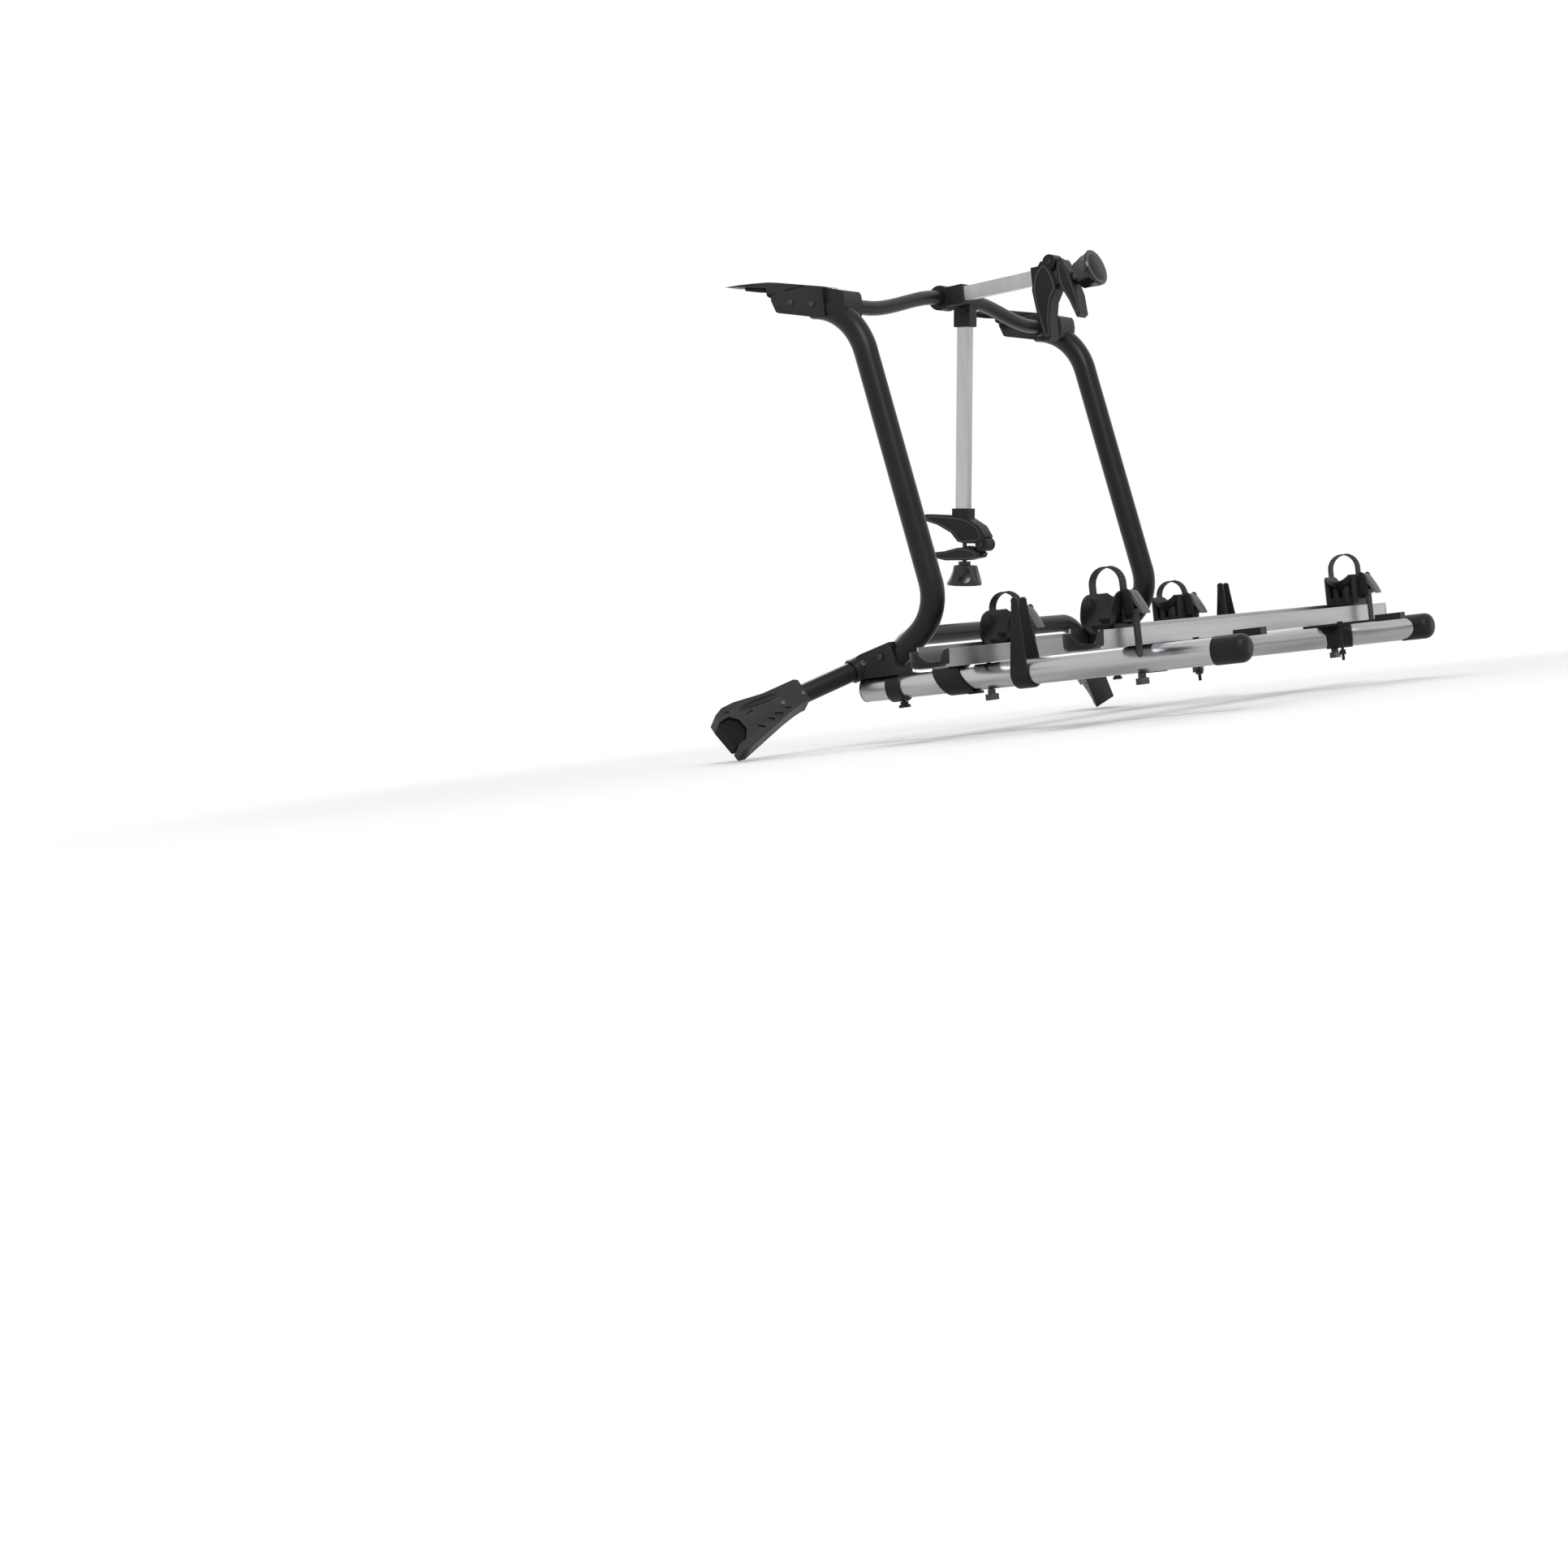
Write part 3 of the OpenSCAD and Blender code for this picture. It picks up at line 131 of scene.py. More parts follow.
def bump(tree, shader, layers):
    """Bump from (source, distance, strength) layers, one on top of another."""
    last = None
    for source, distance, strength in layers:
        node = tree.nodes.new("ShaderNodeBump")
        node.inputs["Distance"].default_value = distance
        node.inputs["Strength"].default_value = strength
        tree.links.new(source, node.inputs["Height"])
        if last:
            tree.links.new(last.outputs["Normal"], node.inputs["Normal"])
        last = node
    tree.links.new(last.outputs["Normal"], shader.inputs["Normal"])


def scaled(color, k):
    """Colour that is brighter by a factor."""
    return tuple(min(1, c * k) for c in color)


# Coats: scale of the broad patches, brightness of their tones and of the painted highlight on edges,
# pointiness where the painted highlight starts and is full, and spread of the gloss
PATCHES = 14.0
DARK_TONE, LIGHT_TONE, EDGE_HIGHLIGHT_TONE = 0.85, 1.2, 4
HIGHLIGHT_FROM, HIGHLIGHT_TO = 0.52, 0.62
GLOSS_SPREAD = 0.06


def coat(name, color, rough, grain, depth, specular=0.5, edge_highlight=0.0):
    """Painted, moulded or cast surface: fine grain, uneven gloss and a painted highlight on sharp
    edges.
    """
    mat, tree, shader = material(name, color, rough, specular=specular)
    fine = noise(tree, grain, 3.0)
    broad = noise(tree, PATCHES, 2.0)
    tone = ramp(tree, broad, scaled(color, DARK_TONE), scaled(color, LIGHT_TONE))
    # Painted highlight: sharp convex edges, found by pointiness, are made paler to stand in for light
    # catching them.
    if edge_highlight:
        geometry = tree.nodes.new("ShaderNodeNewGeometry")
        highlight_mask = ramp(tree, geometry.outputs["Pointiness"], (0, 0, 0), (edge_highlight, edge_highlight, edge_highlight),
                    HIGHLIGHT_FROM, HIGHLIGHT_TO)
        mix = tree.nodes.new("ShaderNodeMix")
        mix.data_type = "RGBA"
        tree.links.new(highlight_mask, mix.inputs["Factor"])
        tree.links.new(tone, mix.inputs["A"])
        mix.inputs["B"].default_value = (*scaled(color, EDGE_HIGHLIGHT_TONE), 1)
        tone = mix.outputs["Result"]
    tree.links.new(tone, shader.inputs["Base Color"])
    gloss = between(tree, broad, rough - GLOSS_SPREAD, rough + GLOSS_SPREAD)
    tree.links.new(gloss, shader.inputs["Roughness"])
    bump(tree, shader, [(fine, depth, 0.5)])
    return mat


# Metals: scales of the streaks and of the clouds, and depth of the streaks
STREAKS, CLOUDS = 60.0, 9.0
STREAK_DEPTH = 0.00008


def brushed(name, color, rough, stretch):
    """Drawn or brushed metal with streaks along the short-scaled axis."""
    mat, tree, shader = material(name, color, rough, metal=1.0)
    streak = noise(tree, STREAKS, 4.0, stretch)
    cloud = noise(tree, CLOUDS, 2.0)
    tone = ramp(tree, streak, scaled(color, 0.9), scaled(color, 1.05), 0.3, 0.7)
    tree.links.new(tone, shader.inputs["Base Color"])
    gloss = between(tree, cloud, rough - 0.05, rough + 0.08)
    tree.links.new(gloss, shader.inputs["Roughness"])
    bump(tree, shader, [(streak, STREAK_DEPTH, 0.35)])
    return mat


BLACK = (0.0075, 0.0075, 0.008)
CHARCOAL = (0.010, 0.0103, 0.011)
SILVER = (0.47, 0.475, 0.485)
ALONG_X = (0.03, 1, 1)
ALONG_Y = (1, 0.03, 1)
ALONG_Z = (1, 1, 0.05)
# A coat's values are its label, colour, roughness, scale and depth of the grain, gloss and strength of
# the painted highlight on edges
MATERIALS = {
    "black_tube": coat("satin black paint", BLACK, 0.34, 900.0, 0.00003, 0.22),
    # The castings and the black plastic get a painted highlight on their edges from their last value.
    "black_casting": coat("black casting", CHARCOAL, 0.42, 520.0, 0.0001, 0.22, 0.25),
    "rubber_pad": coat("dull rubber", (0.009, 0.009, 0.009), 0.75, 400.0, 0.0001, 0.12),
    "steel": brushed("dark zinc", (0.07, 0.07, 0.072), 0.38, (1, 1, 1)),
    "strap_plastic": coat("strap plastic", (0.018, 0.0182, 0.019), 0.5, 700.0, 0.00004, 0.2),
    "lever_plastic": coat("grey lever plastic", (0.075, 0.078, 0.083), 0.38, 700.0, 0.00003, 0.35),
    "knob_plastic": coat("bluish knob plastic", (0.040, 0.046, 0.054), 0.4, 600.0, 0.00005, 0.3),
    "black_plastic": coat("black plastic", (0.0085, 0.0086, 0.009), 0.42, 600.0, 0.00006, 0.2, 0.15),
}
GLOSS_BLACK = coat("glossy black plastic", (0.006, 0.006, 0.0065), 0.16, 700.0, 0.00002, 0.45)
BAND_RUBBER = coat("grey band rubber", (0.045, 0.0465, 0.05), 0.6, 500.0, 0.00006, 0.2)
TRAY_METAL = brushed("tray aluminium", SILVER, 0.30, ALONG_X)
RAIL_METAL = brushed("rail aluminium", SILVER, 0.27, ALONG_Y)
ARM_METAL = brushed("arm aluminium", SILVER, 0.3, ALONG_Z)
METALS = {
    "tray_inner": TRAY_METAL, "tray_outer": TRAY_METAL,
    "rail_left": RAIL_METAL, "rail_right": RAIL_METAL, "rail_stubs": RAIL_METAL,
    "arm_bar_inner": ARM_METAL, "arm_bar_outer": ARM_METAL,
}


def node_material(node):
    """Material of a CAD node: its own metal, or else that of its slot."""
    return METALS.get(node) or MATERIALS[SLOT_OF[node]]


def paint(obj, mat):
    """Gives every face of a piece one material."""
    obj.data.materials.clear()
    obj.data.materials.append(mat)
    return obj


# Meshes

WELD = 2e-6
FLAT_ANGLE = 0.4


def linked(name, data):
    """Object in the scene that shows some data."""
    obj = bpy.data.objects.new(name, data)
    scene.collection.objects.link(obj)
    return obj


def mesh_object(name, bm):
    """Object of a bmesh, which is used up."""
    mesh = bpy.data.meshes.new(name)
    bm.to_mesh(mesh)
    bm.free()
    return linked(name, mesh)


def built(shape, *values):
    """Bmesh that one of the shape functions fills."""
    bm = bmesh.new()
    shape(bm, *values)
    return bm


def piece(name, bm, body, slot="black_plastic", sharp=EDGE_ANGLE, mat=None):
    """Object from a bmesh that rides on a body, in its slot's material or another one."""
    bmesh.ops.recalc_face_normals(bm, faces=bm.faces)
    obj = paint(mesh_object(name, bm), mat or MATERIALS[slot])
    obj.data.shade_smooth()
    obj.data.set_sharp_from_angle(angle=radians(sharp))
    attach(obj, body)
    return obj


def rounded(obj, width, segments=3, angle=EDGE_ANGLE):
    """Bevels the sharp edges of a piece."""
    mod = obj.modifiers.new("round", "BEVEL")
    mod.width = width
    mod.segments = segments
    mod.limit_method = "ANGLE"
    mod.angle_limit = radians(angle)
    mod.harden_normals = True
    return obj


def softened(node, width, segments=3):
    """Copy of a CAD node with rounded edges, shown in its place."""
    bm = bmesh.new()
    bm.from_mesh(frame["nodes"][node].data)
    bmesh.ops.remove_doubles(bm, verts=bm.verts, dist=WELD)
    bmesh.ops.dissolve_limit(bm, angle_limit=radians(FLAT_ANGLE), verts=bm.verts, edges=bm.edges)
    obj = piece("soft_" + node, bm, BODY_OF[node], SLOT_OF[node], mat=node_material(node))
    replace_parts(obj, node)
    return rounded(obj, width, segments)


moved = Matrix.Translation


def turned(degrees, axis):
    """Turn about an axis."""
    return Matrix.Rotation(radians(degrees), 4, axis)


# Turn of an outline of (y, z) points, so that X runs through it
OUTLINE_YZ = turned(90, "Z") @ turned(90, "X")


def axes(origin, x, y, z):
    """Matrix of a place and its three directions."""
    return moved(origin) @ Matrix((x, y, z)).transposed().to_4x4()


def axis_frame(origin, z_axis, x_hint=(0, 0, 1)):
    """Matrix whose Z lies along z_axis and whose X is near x_hint."""
    z = Vector(z_axis).normalized()
    x = Vector(x_hint) - Vector(x_hint).dot(z) * z
    if x.length < 1e-4:
        x = Vector((1, 0, 0)) - z.x * z
    x.normalize()
    return axes(origin, x, z.cross(x), z)


def circle(steps):
    """Angles at even steps round a circle."""
    return [2 * pi * i / steps for i in range(steps)]


def lathe(bm, profile, place, steps=40):
    """Turned solid from (radius, height) points about the place's Z."""
    rings = []
    for radius, height in profile:
        if radius < 1e-7:
            rings.append([bm.verts.new(place @ Vector((0, 0, height)))])
            continue
        rings.append([bm.verts.new(place @ Vector((radius * cos(a), radius * sin(a), height)))
                      for a in circle(steps)])
    for low, high in zip(rings, rings[1:]):
        for i in range(steps):
            j = (i + 1) % steps
            corners = [low[i % len(low)], low[j % len(low)], high[j % len(high)], high[i % len(high)]]
            bm.faces.new(list(dict.fromkeys(corners)))
    for ring in (rings[0], rings[-1]):
        if len(ring) > 2:
            bm.faces.new(ring)


def prism(bm, outline, place, low, high):
    """Straight solid over an outline of (x, y) points, from height low to high."""
    loft(bm, [[place @ Vector((x, y, h)) for x, y in outline] for h in (low, high)])


def slab(bm, center, size, place=Matrix()):
    """Box about a centre."""
    x, y, z = (s / 2 for s in size)
    outline = [(-x, -y), (x, -y), (x, y), (-x, y)]
    prism(bm, outline, place @ moved(center), -z, z)


def skin(bm, rings):
    """Faces from each ring of vertices to the next, with as many vertices each."""
    count = len(rings[0])
    for low, high in zip(rings, rings[1:]):
        for i in range(count):
            j = (i + 1) % count
            bm.faces.new([low[i], low[j], high[j], high[i]])


def loft(bm, rings):
    """Closed solid through rings of points with as many points each."""
    rings = [[bm.verts.new(v) for v in ring] for ring in rings]
    skin(bm, rings)
    bm.faces.new(rings[0])
    bm.faces.new(rings[-1])


def walk(points, step):
    """Points at even steps along a line, each with its direction."""
    points = [Vector(v) for v in points]
    lengths = [(b - a).length for a, b in zip(points, points[1:])]
    total = sum(lengths)
    count = max(2, round(total / step))
    found = []
    for i in range(count + 1):
        left = total * i / count
        k = 0
        while k < len(lengths) - 1 and left > lengths[k]:
            left -= lengths[k]
            k += 1
        found.append(points[k].lerp(points[k + 1], min(1, left / lengths[k])))
    ends = [(found[max(i - 1, 0)], found[min(i + 1, count)]) for i in range(count + 1)]
    return [(v, (b - a).normalized()) for v, (a, b) in zip(found, ends)]


def smooth_rise(t):
    """Share of a rise that starts and ends level, for t from 0 to 1."""
    return t * t * (3 - 2 * t)


def faceted_ring(place, radius, height, sides, sharp, steps=60):
    """Ring between a circle and a regular polygon: sharp 0 is round."""
    ring = []
    for a in circle(steps):
        flat = cos(pi / sides) / cos(a % (2 * pi / sides) - pi / sides)
        r = radius * (1 - sharp + sharp * flat)
        ring.append(place @ Vector((r * cos(a), r * sin(a), height)))
    return ring


# Screw heads, as shares of radius and height: rim, chamfer of the socket and its depth.
# The socket's radius is a share of the head's diameter.
SCREW_RIM = ((1, -0.3), (1, 0.7), (0.9, 1))
SCREW_SOCKET = 0.26
SCREW_CHAMFER = 1.25
SCREW_DEPTHS = (1, 0.35)


def screw(name, body, origin, axis, head, slot="steel", mat=None):
    """Round screw head with a hexagon socket and a rim: head is its diameter and height."""
    diameter, height = head
    socket = diameter * SCREW_SOCKET
    rings = [(diameter / 2 * radius, up, 0) for radius, up in SCREW_RIM]
    rings.append((socket * SCREW_CHAMFER, 1, 0))
    rings += [(socket, up, 1) for up in SCREW_DEPTHS]
    place = axis_frame(origin, axis)
    bm = built(loft, [faceted_ring(place, radius, height * up, 6, sharp, 36)
                      for radius, up, sharp in rings])
    return piece(name, bm, body, slot, mat=mat)


def carved(obj, cutters):
    """Cuts closed meshes out of a piece and keeps the result as its mesh."""
    bmesh.ops.recalc_face_normals(cutters, faces=cutters.faces)
    tool = mesh_object("cutter", cutters)
    mod = obj.modifiers.new("cut", "BOOLEAN")
    mod.operation = "DIFFERENCE"
    mod.solver = "EXACT"
    mod.use_self = True
    mod.object = tool
    bpy.context.view_layer.update()
    cut = bpy.data.meshes.new_from_object(obj.evaluated_get(bpy.context.evaluated_depsgraph_get()))
    obj.modifiers.remove(mod)
    obj.data = cut
    bpy.data.objects.remove(tool)
    return obj


# Every CAD node gets its material

for node in SLOT_OF:
    paint(frame["nodes"][node], node_material(node))

# Castings and mouldings with rounded edges

CAST_EDGE = 0.003
KNOB_EDGE = 0.0032
BAR_EDGE = 0.002
PLAIN_EDGE = 0.0015
WING_EDGE = 0.0012
TUBE_EDGE = 0.0004
for side in SIDES:
    softened("joint_bracket_" + side, CAST_EDGE, 4)
    softened("claw_pad_" + side, PLAIN_EDGE)
    softened("joint_wing_nut_" + side, WING_EDGE)
for spot in HOLDERS:
    softened("tray_knob_" + spot, KNOB_EDGE, 4)
for arm in ("inner", "outer"):
    softened("arm_base_" + arm, BAR_EDGE)
    softened("arm_bar_" + arm, BAR_EDGE)
    softened("clamp_jaw_" + arm, CAST_EDGE, 4)
    softened("clamp_strap_" + arm, CAST_EDGE, 4)
for node in ("hook_pads", "crossbar_clamps", "fold_collars", "rail_knuckles", "nose_caps",
             "lamp_brackets", "lamp_wing_nuts"):
    softened(node, PLAIN_EDGE)
for node in ("rail_left", "rail_right", "rail_stubs"):
    softened(node, TUBE_EDGE, 2)


# Roof hooks: slotted sides and socket screws

TOP_BEND_Y, TOP_BEND_Z = 0.218, 0.749
HOOK_SLOPE = 10.4
HOOK_DROP = 0.022
HOOK_Y = 0.269
HOOK_Z = TOP_BEND_Z + (HOOK_Y - TOP_BEND_Y) * tan(radians(HOOK_SLOPE)) - HOOK_DROP
HOOK_L = 0.236
HOOK_H = 0.105
HOOK_W = 0.056
HOOK_EDGE = 0.0022
HOOK_SCREW = (0.0125, 0.0028)
# Bolts and slots: shares of the hook's length and height, and a slot's own length and height
HOOK_BOLTS = ((0.33, 0.42), (0.12, 0.30))
HOOK_SLOTS = ((0.25, 0.66, 0.058, 0.003), (0.515, 0.60, 0.016, 0.012))
HOOK_SLOT_CUT = 0.006


def hook_place(sign, face, along, up):
    """Place on a side face of a roof hook, with Z pointing out of the face."""
    return axis_frame((sign * RAIL_X + face * HOOK_W / 2, HOOK_Y + along * HOOK_L,
                       HOOK_Z + up * HOOK_H), (face, 0, 0))


def roof_hook(side, sign):
    """Roof hook with its slots and screws."""
    hook = softened("hook_bracket_" + side, HOOK_EDGE)
    cutters = bmesh.new()
    for along, up, length, height in HOOK_SLOTS:
        for face in (-1, 1):
            slab(cutters, (0, 0, 0), (height, length, HOOK_SLOT_CUT), hook_place(sign, face, along, up))
    carved(hook, cutters)
    for number, (along, up) in enumerate(HOOK_BOLTS):
        place = hook_place(sign, sign, along, up)
        screw("hook_screw_%s_%d" % (side, number), "frame", place.translation, (sign, 0, 0),
              HOOK_SCREW)


for side, sign in SIDES.items():
    roof_hook(side, sign)


# Wheel straps: ribbed from the arch's crown to the end of the hanging tail

ACROSS = Vector((1, 0, 0))
STRAP_HALF = 0.0125
STRAP_T = 0.0022
STRAP_LIP = STRAP_T * 0.3
STRAP_STEP = 0.0012
STRAP_TIP = 0.05
ARCH_R = 0.031
ARCH_DROP = 0.0015
ARCH_STEPS = 24
HOLDER_Z = 0.112
ANCHOR_Z, NEAR_Z = HOLDER_Z - 0.002, HOLDER_Z - 0.003
TAIL_Y = 0.050
TAIL_BEND_Z = 0.084
TAIL_Z = 0.004
RIB_STEP = 0.0048
RIB_L = 0.0024
RIB_HALF = 0.0095
RIB_TOP = STRAP_T / 2 + 0.0013
# Rings of a rib: height and inset
RIB_RINGS = ((STRAP_LIP, 0), (RIB_TOP - 0.0004, 0.0001), (RIB_TOP, 0.0005))
RIBS_START_Y = 0.008
RIBS_END = 10
TAB_OUTLINE = ((-0.0135, 0.008), (-0.0135, -0.005), (0, -0.016), (0.0135, -0.005), (0.0135, 0.008))
TAB_Y = ARCH_R - 0.0015
TAB_HALF = 0.0016
TAB_EDGE = 0.0012


def outward(ahead):
    """Direction out of a strap or lever that runs ahead."""
    return ACROSS.cross(ahead) * -1


def strap_line(x, y, arch_z):
    """Centre line of a strap from its anchor over the arch to the end of its tail."""
    centre = arch_z - ARCH_R - ARCH_DROP
    points = [(x, y + ARCH_R, ANCHOR_Z), (x, y + ARCH_R, (HOLDER_Z + centre) / 2)]
    for i in range(ARCH_STEPS + 1):
        a = pi * i / ARCH_STEPS
        points.append((x, y + ARCH_R * cos(a), centre + ARCH_R * sin(a)))
    points += [(x, y - ARCH_R, NEAR_Z), (x, y - TAIL_Y, TAIL_BEND_Z), (x, y - TAIL_Y, TAIL_Z)]
    return points


def strap_band(bm, line):
    """Band along a line, with chamfered edges and a rounded end."""
    rings = []
    for i, (point, ahead) in enumerate(line):
        out = outward(ahead)
        from_end = (len(line) - 1 - i) * STRAP_STEP
        half = STRAP_HALF
        if from_end < STRAP_HALF:
            half = sqrt(max(STRAP_TIP, 1 - (1 - from_end / STRAP_HALF) ** 2)) * STRAP_HALF
        edge, lip = STRAP_T / 2, STRAP_LIP
        section = [(-half, -lip), (-half + lip, -edge), (half - lip, -edge), (half, -lip),
                   (half, lip), (half - lip, edge), (-half + lip, edge), (-half, lip)]
        rings.append([point + ACROSS * a + out * o for a, o in section])
    loft(bm, rings)


def strap_rib(bm, point, ahead):
    """One rib across a strap."""
    place = axes(point, ACROSS, ahead, outward(ahead))
    rings = []
    for height, inset in RIB_RINGS:
        a, b = RIB_HALF - inset, RIB_L / 2 - inset
        rings.append([place @ Vector(v) for v in
                      ((-a, -b, height), (a, -b, height), (a, b, height), (-a, b, height))])
    loft(bm, rings)


def wheel_strap(spot):
    """Ribbed strap of a wheel holder, and the tab that anchors it."""
    x, y, _, arch_z = HOLDERS[spot]
    body = BODY_OF["wheel_strap_" + spot]
    line = walk(strap_line(x, y, arch_z), STRAP_STEP)
    bm = bmesh.new()
    strap_band(bm, line)
    i = float(next(i for i, (point, _) in enumerate(line) if point.y < y - RIBS_START_Y))
    while i < len(line) - RIBS_END:
        strap_rib(bm, *line[int(i)])
        i += RIB_STEP / STRAP_STEP
    obj = piece("ribbed_strap_" + spot, bm, body, "strap_plastic")
    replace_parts(obj, "wheel_strap_" + spot)
    tab = built(prism, TAB_OUTLINE, axis_frame((x, y + TAB_Y, HOLDER_Z), (0, -1, 0), (1, 0, 0)),
                -TAB_HALF, TAB_HALF)
    rounded(piece("strap_anchor_" + spot, tab, body), TAB_EDGE)


# Ratchet levers: curved channels that hang over the buckles

LEVER_HALF = 0.0135
LEVER_WAIST, LEVER_FLARE = 0.93, 0.12
LEVER_SKIN = 0.003
LEVER_WALL, LEVER_TAPER = 0.0085, 0.7
LEVER_CROWN = 0.0009
LEVER_CORNER = 0.0012
LEVER_EDGE = 0.0006
LEVER_STEP = 0.002
LEVER_PIN_Y, LEVER_PIN_Z = 0.044, 0.121
LEVER_SPINE = ((0.0045, 0.0045), (0.0085, 0.002), (0.0125, -0.004), (0.0175, -0.0125),
               (0.0225, -0.0215), (0.0265, -0.0300), (0.0300, -0.0385))
LEVER_HUB = ((0, -0.0134), (0.0054, -0.0134), (0.0058, -0.013), (0.0058, 0.013),
             (0.0054, 0.0134), (0, 0.0134))


def lever_section(t):
    """Channel section of a lever, from its pin at 0 to its tip at 1: (across, out)."""
    half = LEVER_HALF * (LEVER_WAIST + LEVER_FLARE * t)
    depth = LEVER_SKIN + LEVER_WALL * (1 - t) ** LEVER_TAPER
    back = [(-half, -depth), (-half, -LEVER_CORNER), (-half + LEVER_CORNER, 0),
            (-half * 0.5, LEVER_CROWN), (0, LEVER_CROWN * 1.3), (half * 0.5, LEVER_CROWN),
            (half - LEVER_CORNER, 0), (half, -LEVER_CORNER), (half, -depth)]
    inside = half - LEVER_SKIN
    return back + [(inside, -depth), (inside, -LEVER_SKIN), (-inside, -LEVER_SKIN), (-inside, -depth)]


def ratchet_lever(spot):
    """Lever of a strap's buckle and the hub that it turns on."""
    x, y, _, _ = HOLDERS[spot]
    body = BODY_OF["ratchet_lever_" + spot]
    pin = Vector((x, y - LEVER_PIN_Y, LEVER_PIN_Z))
    line = walk([pin + Vector((0, -out, up)) for out, up in LEVER_SPINE], LEVER_STEP)
    rings = []
    for i, (point, ahead) in enumerate(line):
        section = lever_section(i / (len(line) - 1))
        rings.append([point + ACROSS * a + outward(ahead) * o for a, o in section])
    lever = piece("lever_" + spot, built(loft, rings), body, "lever_plastic")
    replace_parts(lever, "ratchet_lever_" + spot)
    rounded(lever, LEVER_EDGE, 2, 40)
    piece("lever_hub_" + spot, built(lathe, LEVER_HUB, axis_frame(pin, ACROSS), 28), body)


# Wheel holders: a saddle round the tyre's ring, on a foot in the tray

RING_R = 0.305
TYRE_R = 0.029
AXLE_X = 0.160
AXLE_Z = 0.370
SADDLE_FROM, SADDLE_TO = 0.096, 0.196
SADDLE_T = 0.0030
SADDLE_TOP = 0.127
SADDLE_IN = TYRE_R - 0.0010
SADDLE_ROWS, SADDLE_COLS = 36, 40
# Rounded end of the saddle: width at its start, how soon it is full, and how round it is
END_WIDTH, END_RATE, END_ROUND = 0.06, 1.55, 0.8
ROW_SPACING = 0.9
WALL_FLARE = 0.10
SADDLE_EDGE = 0.0009
HOLDER_IN, HOLDER_OUT = 0.034, 0.040


def saddle(spot, body):
    """Trough that follows the tyre, with high sides and a rounded end."""
    x, y, sign, _ = HOLDERS[spot]
    axle = Vector((x + sign * AXLE_X, y, AXLE_Z))
    start, end = (asin(d / RING_R) for d in (SADDLE_FROM, SADDLE_TO))
    rows, cols = SADDLE_ROWS, SADDLE_COLS
    bm = bmesh.new()
    sheets = []
    for radius in (SADDLE_IN, SADDLE_IN + SADDLE_T):
        sheet = []
        for i in range(rows + 1):
            u = i / rows
            along = start + (end - start) * (1 - cos(u * pi / 2)) ** ROW_SPACING
            height = SADDLE_TOP - (AXLE_Z - RING_R * cos(along))
            full = TYRE_R * pi / 2 + max(0, height)
            share = sin(min(1, u * END_RATE) * pi / 2) ** END_ROUND
            reach = full * (END_WIDTH + (1 - END_WIDTH) * share)
            level = ((AXLE_Z - SADDLE_TOP) / cos(along) - RING_R) / TYRE_R
            if height < 0:
                reach = min(reach, TYRE_R * acos(min(1, level)))
            row = []
            for j in range(cols + 1):
                arc = reach * (2 * j / cols - 1)
                around = max(-pi / 2, min(pi / 2, arc / TYRE_R))
                rise = max(0, abs(arc) - TYRE_R * pi / 2)
                ring = RING_R + radius * cos(around)
                side = radius * sin(around) + copysign(rise * WALL_FLARE, arc)
                row.append(bm.verts.new(axle + Vector((-sign * ring * sin(along), side,
                                                       rise - ring * cos(along)))))
            sheet.append(row)
        sheets.append(sheet)
    inner, outer = sheets
    for sheet in sheets:
        for i in range(rows):
            for j in range(cols):
                bm.faces.new([sheet[i][j], sheet[i + 1][j], sheet[i + 1][j + 1], sheet[i][j + 1]])
    for i in range(rows):
        for j in (0, cols):
            bm.faces.new([inner[i][j], inner[i + 1][j], outer[i + 1][j], outer[i][j]])
    for j in range(cols):
        for i in (0, rows):
            bm.faces.new([inner[i][j], inner[i][j + 1], outer[i][j + 1], outer[i][j]])
    return rounded(piece("saddle_" + spot, bm, body, sharp=50), SADDLE_EDGE, 3, 55)


def under_saddle(axle, point):
    """Height of the saddle's sheet above a point, or None beside the saddle."""
    away = point - axle
    if abs(away.y) > TYRE_R:
        return None
    ring = RING_R + sqrt(TYRE_R ** 2 - away.y ** 2)
    return axle.z - sqrt(max(0, ring ** 2 - away.x ** 2))


# Foot of a holder: outboard end from its middle, height of the centre, width and height
FOOT_BLOCKS = ((HOLDER_OUT, 0.0535, 0.0536, 0.0335), (0.012, 0.075, 0.066, 0.012))
FOOT_EDGE = 0.0022
# Columns: place across the tray, half sizes along and across it, and top
COLUMNS = ((0.0285, 0.0125, 0.0075, SADDLE_TOP - 0.004), (0.0120, 0.0115, 0.0085, 0.104),
           (-0.0110, 0.0125, 0.0115, 0.104), (-0.0290, 0.0125, 0.0075, SADDLE_TOP))
COLUMN_IN, COLUMN_LOW = 0.010, 0.066
# Rounded head of a column: depth below its top and share of its plan
COLUMN_HEAD = ((0.004, 1), (0.0012, 0.93), (0, 0.78))
COLUMN_EDGE = 0.0008
# Side plates: (share of the length, height), from the foot's inner end to past the middle
SIDE_OUTLINE = ((0, 0.070), (1, 0.070), (1, 0.086), (0.86, 0.104), (0.72, 0.118), (0.55, 0.124),
                (0, 0.124))
SIDE_IN, SIDE_OUT = 0.002, 0.020
SIDE_Y, SIDE_T = 0.0335, 0.0036
SIDE_EDGE = 0.0014
# Ribs on the side plates: number, first place inboard of the middle, pitch
FINS, FIN_FROM, FIN_PITCH = 5, 0.024, 0.0095
FIN_Y, FIN_Z = 0.0362, 0.091
FIN_SIZE = (0.0022, 0.0030, 0.034)
FIN_EDGE = 0.0007
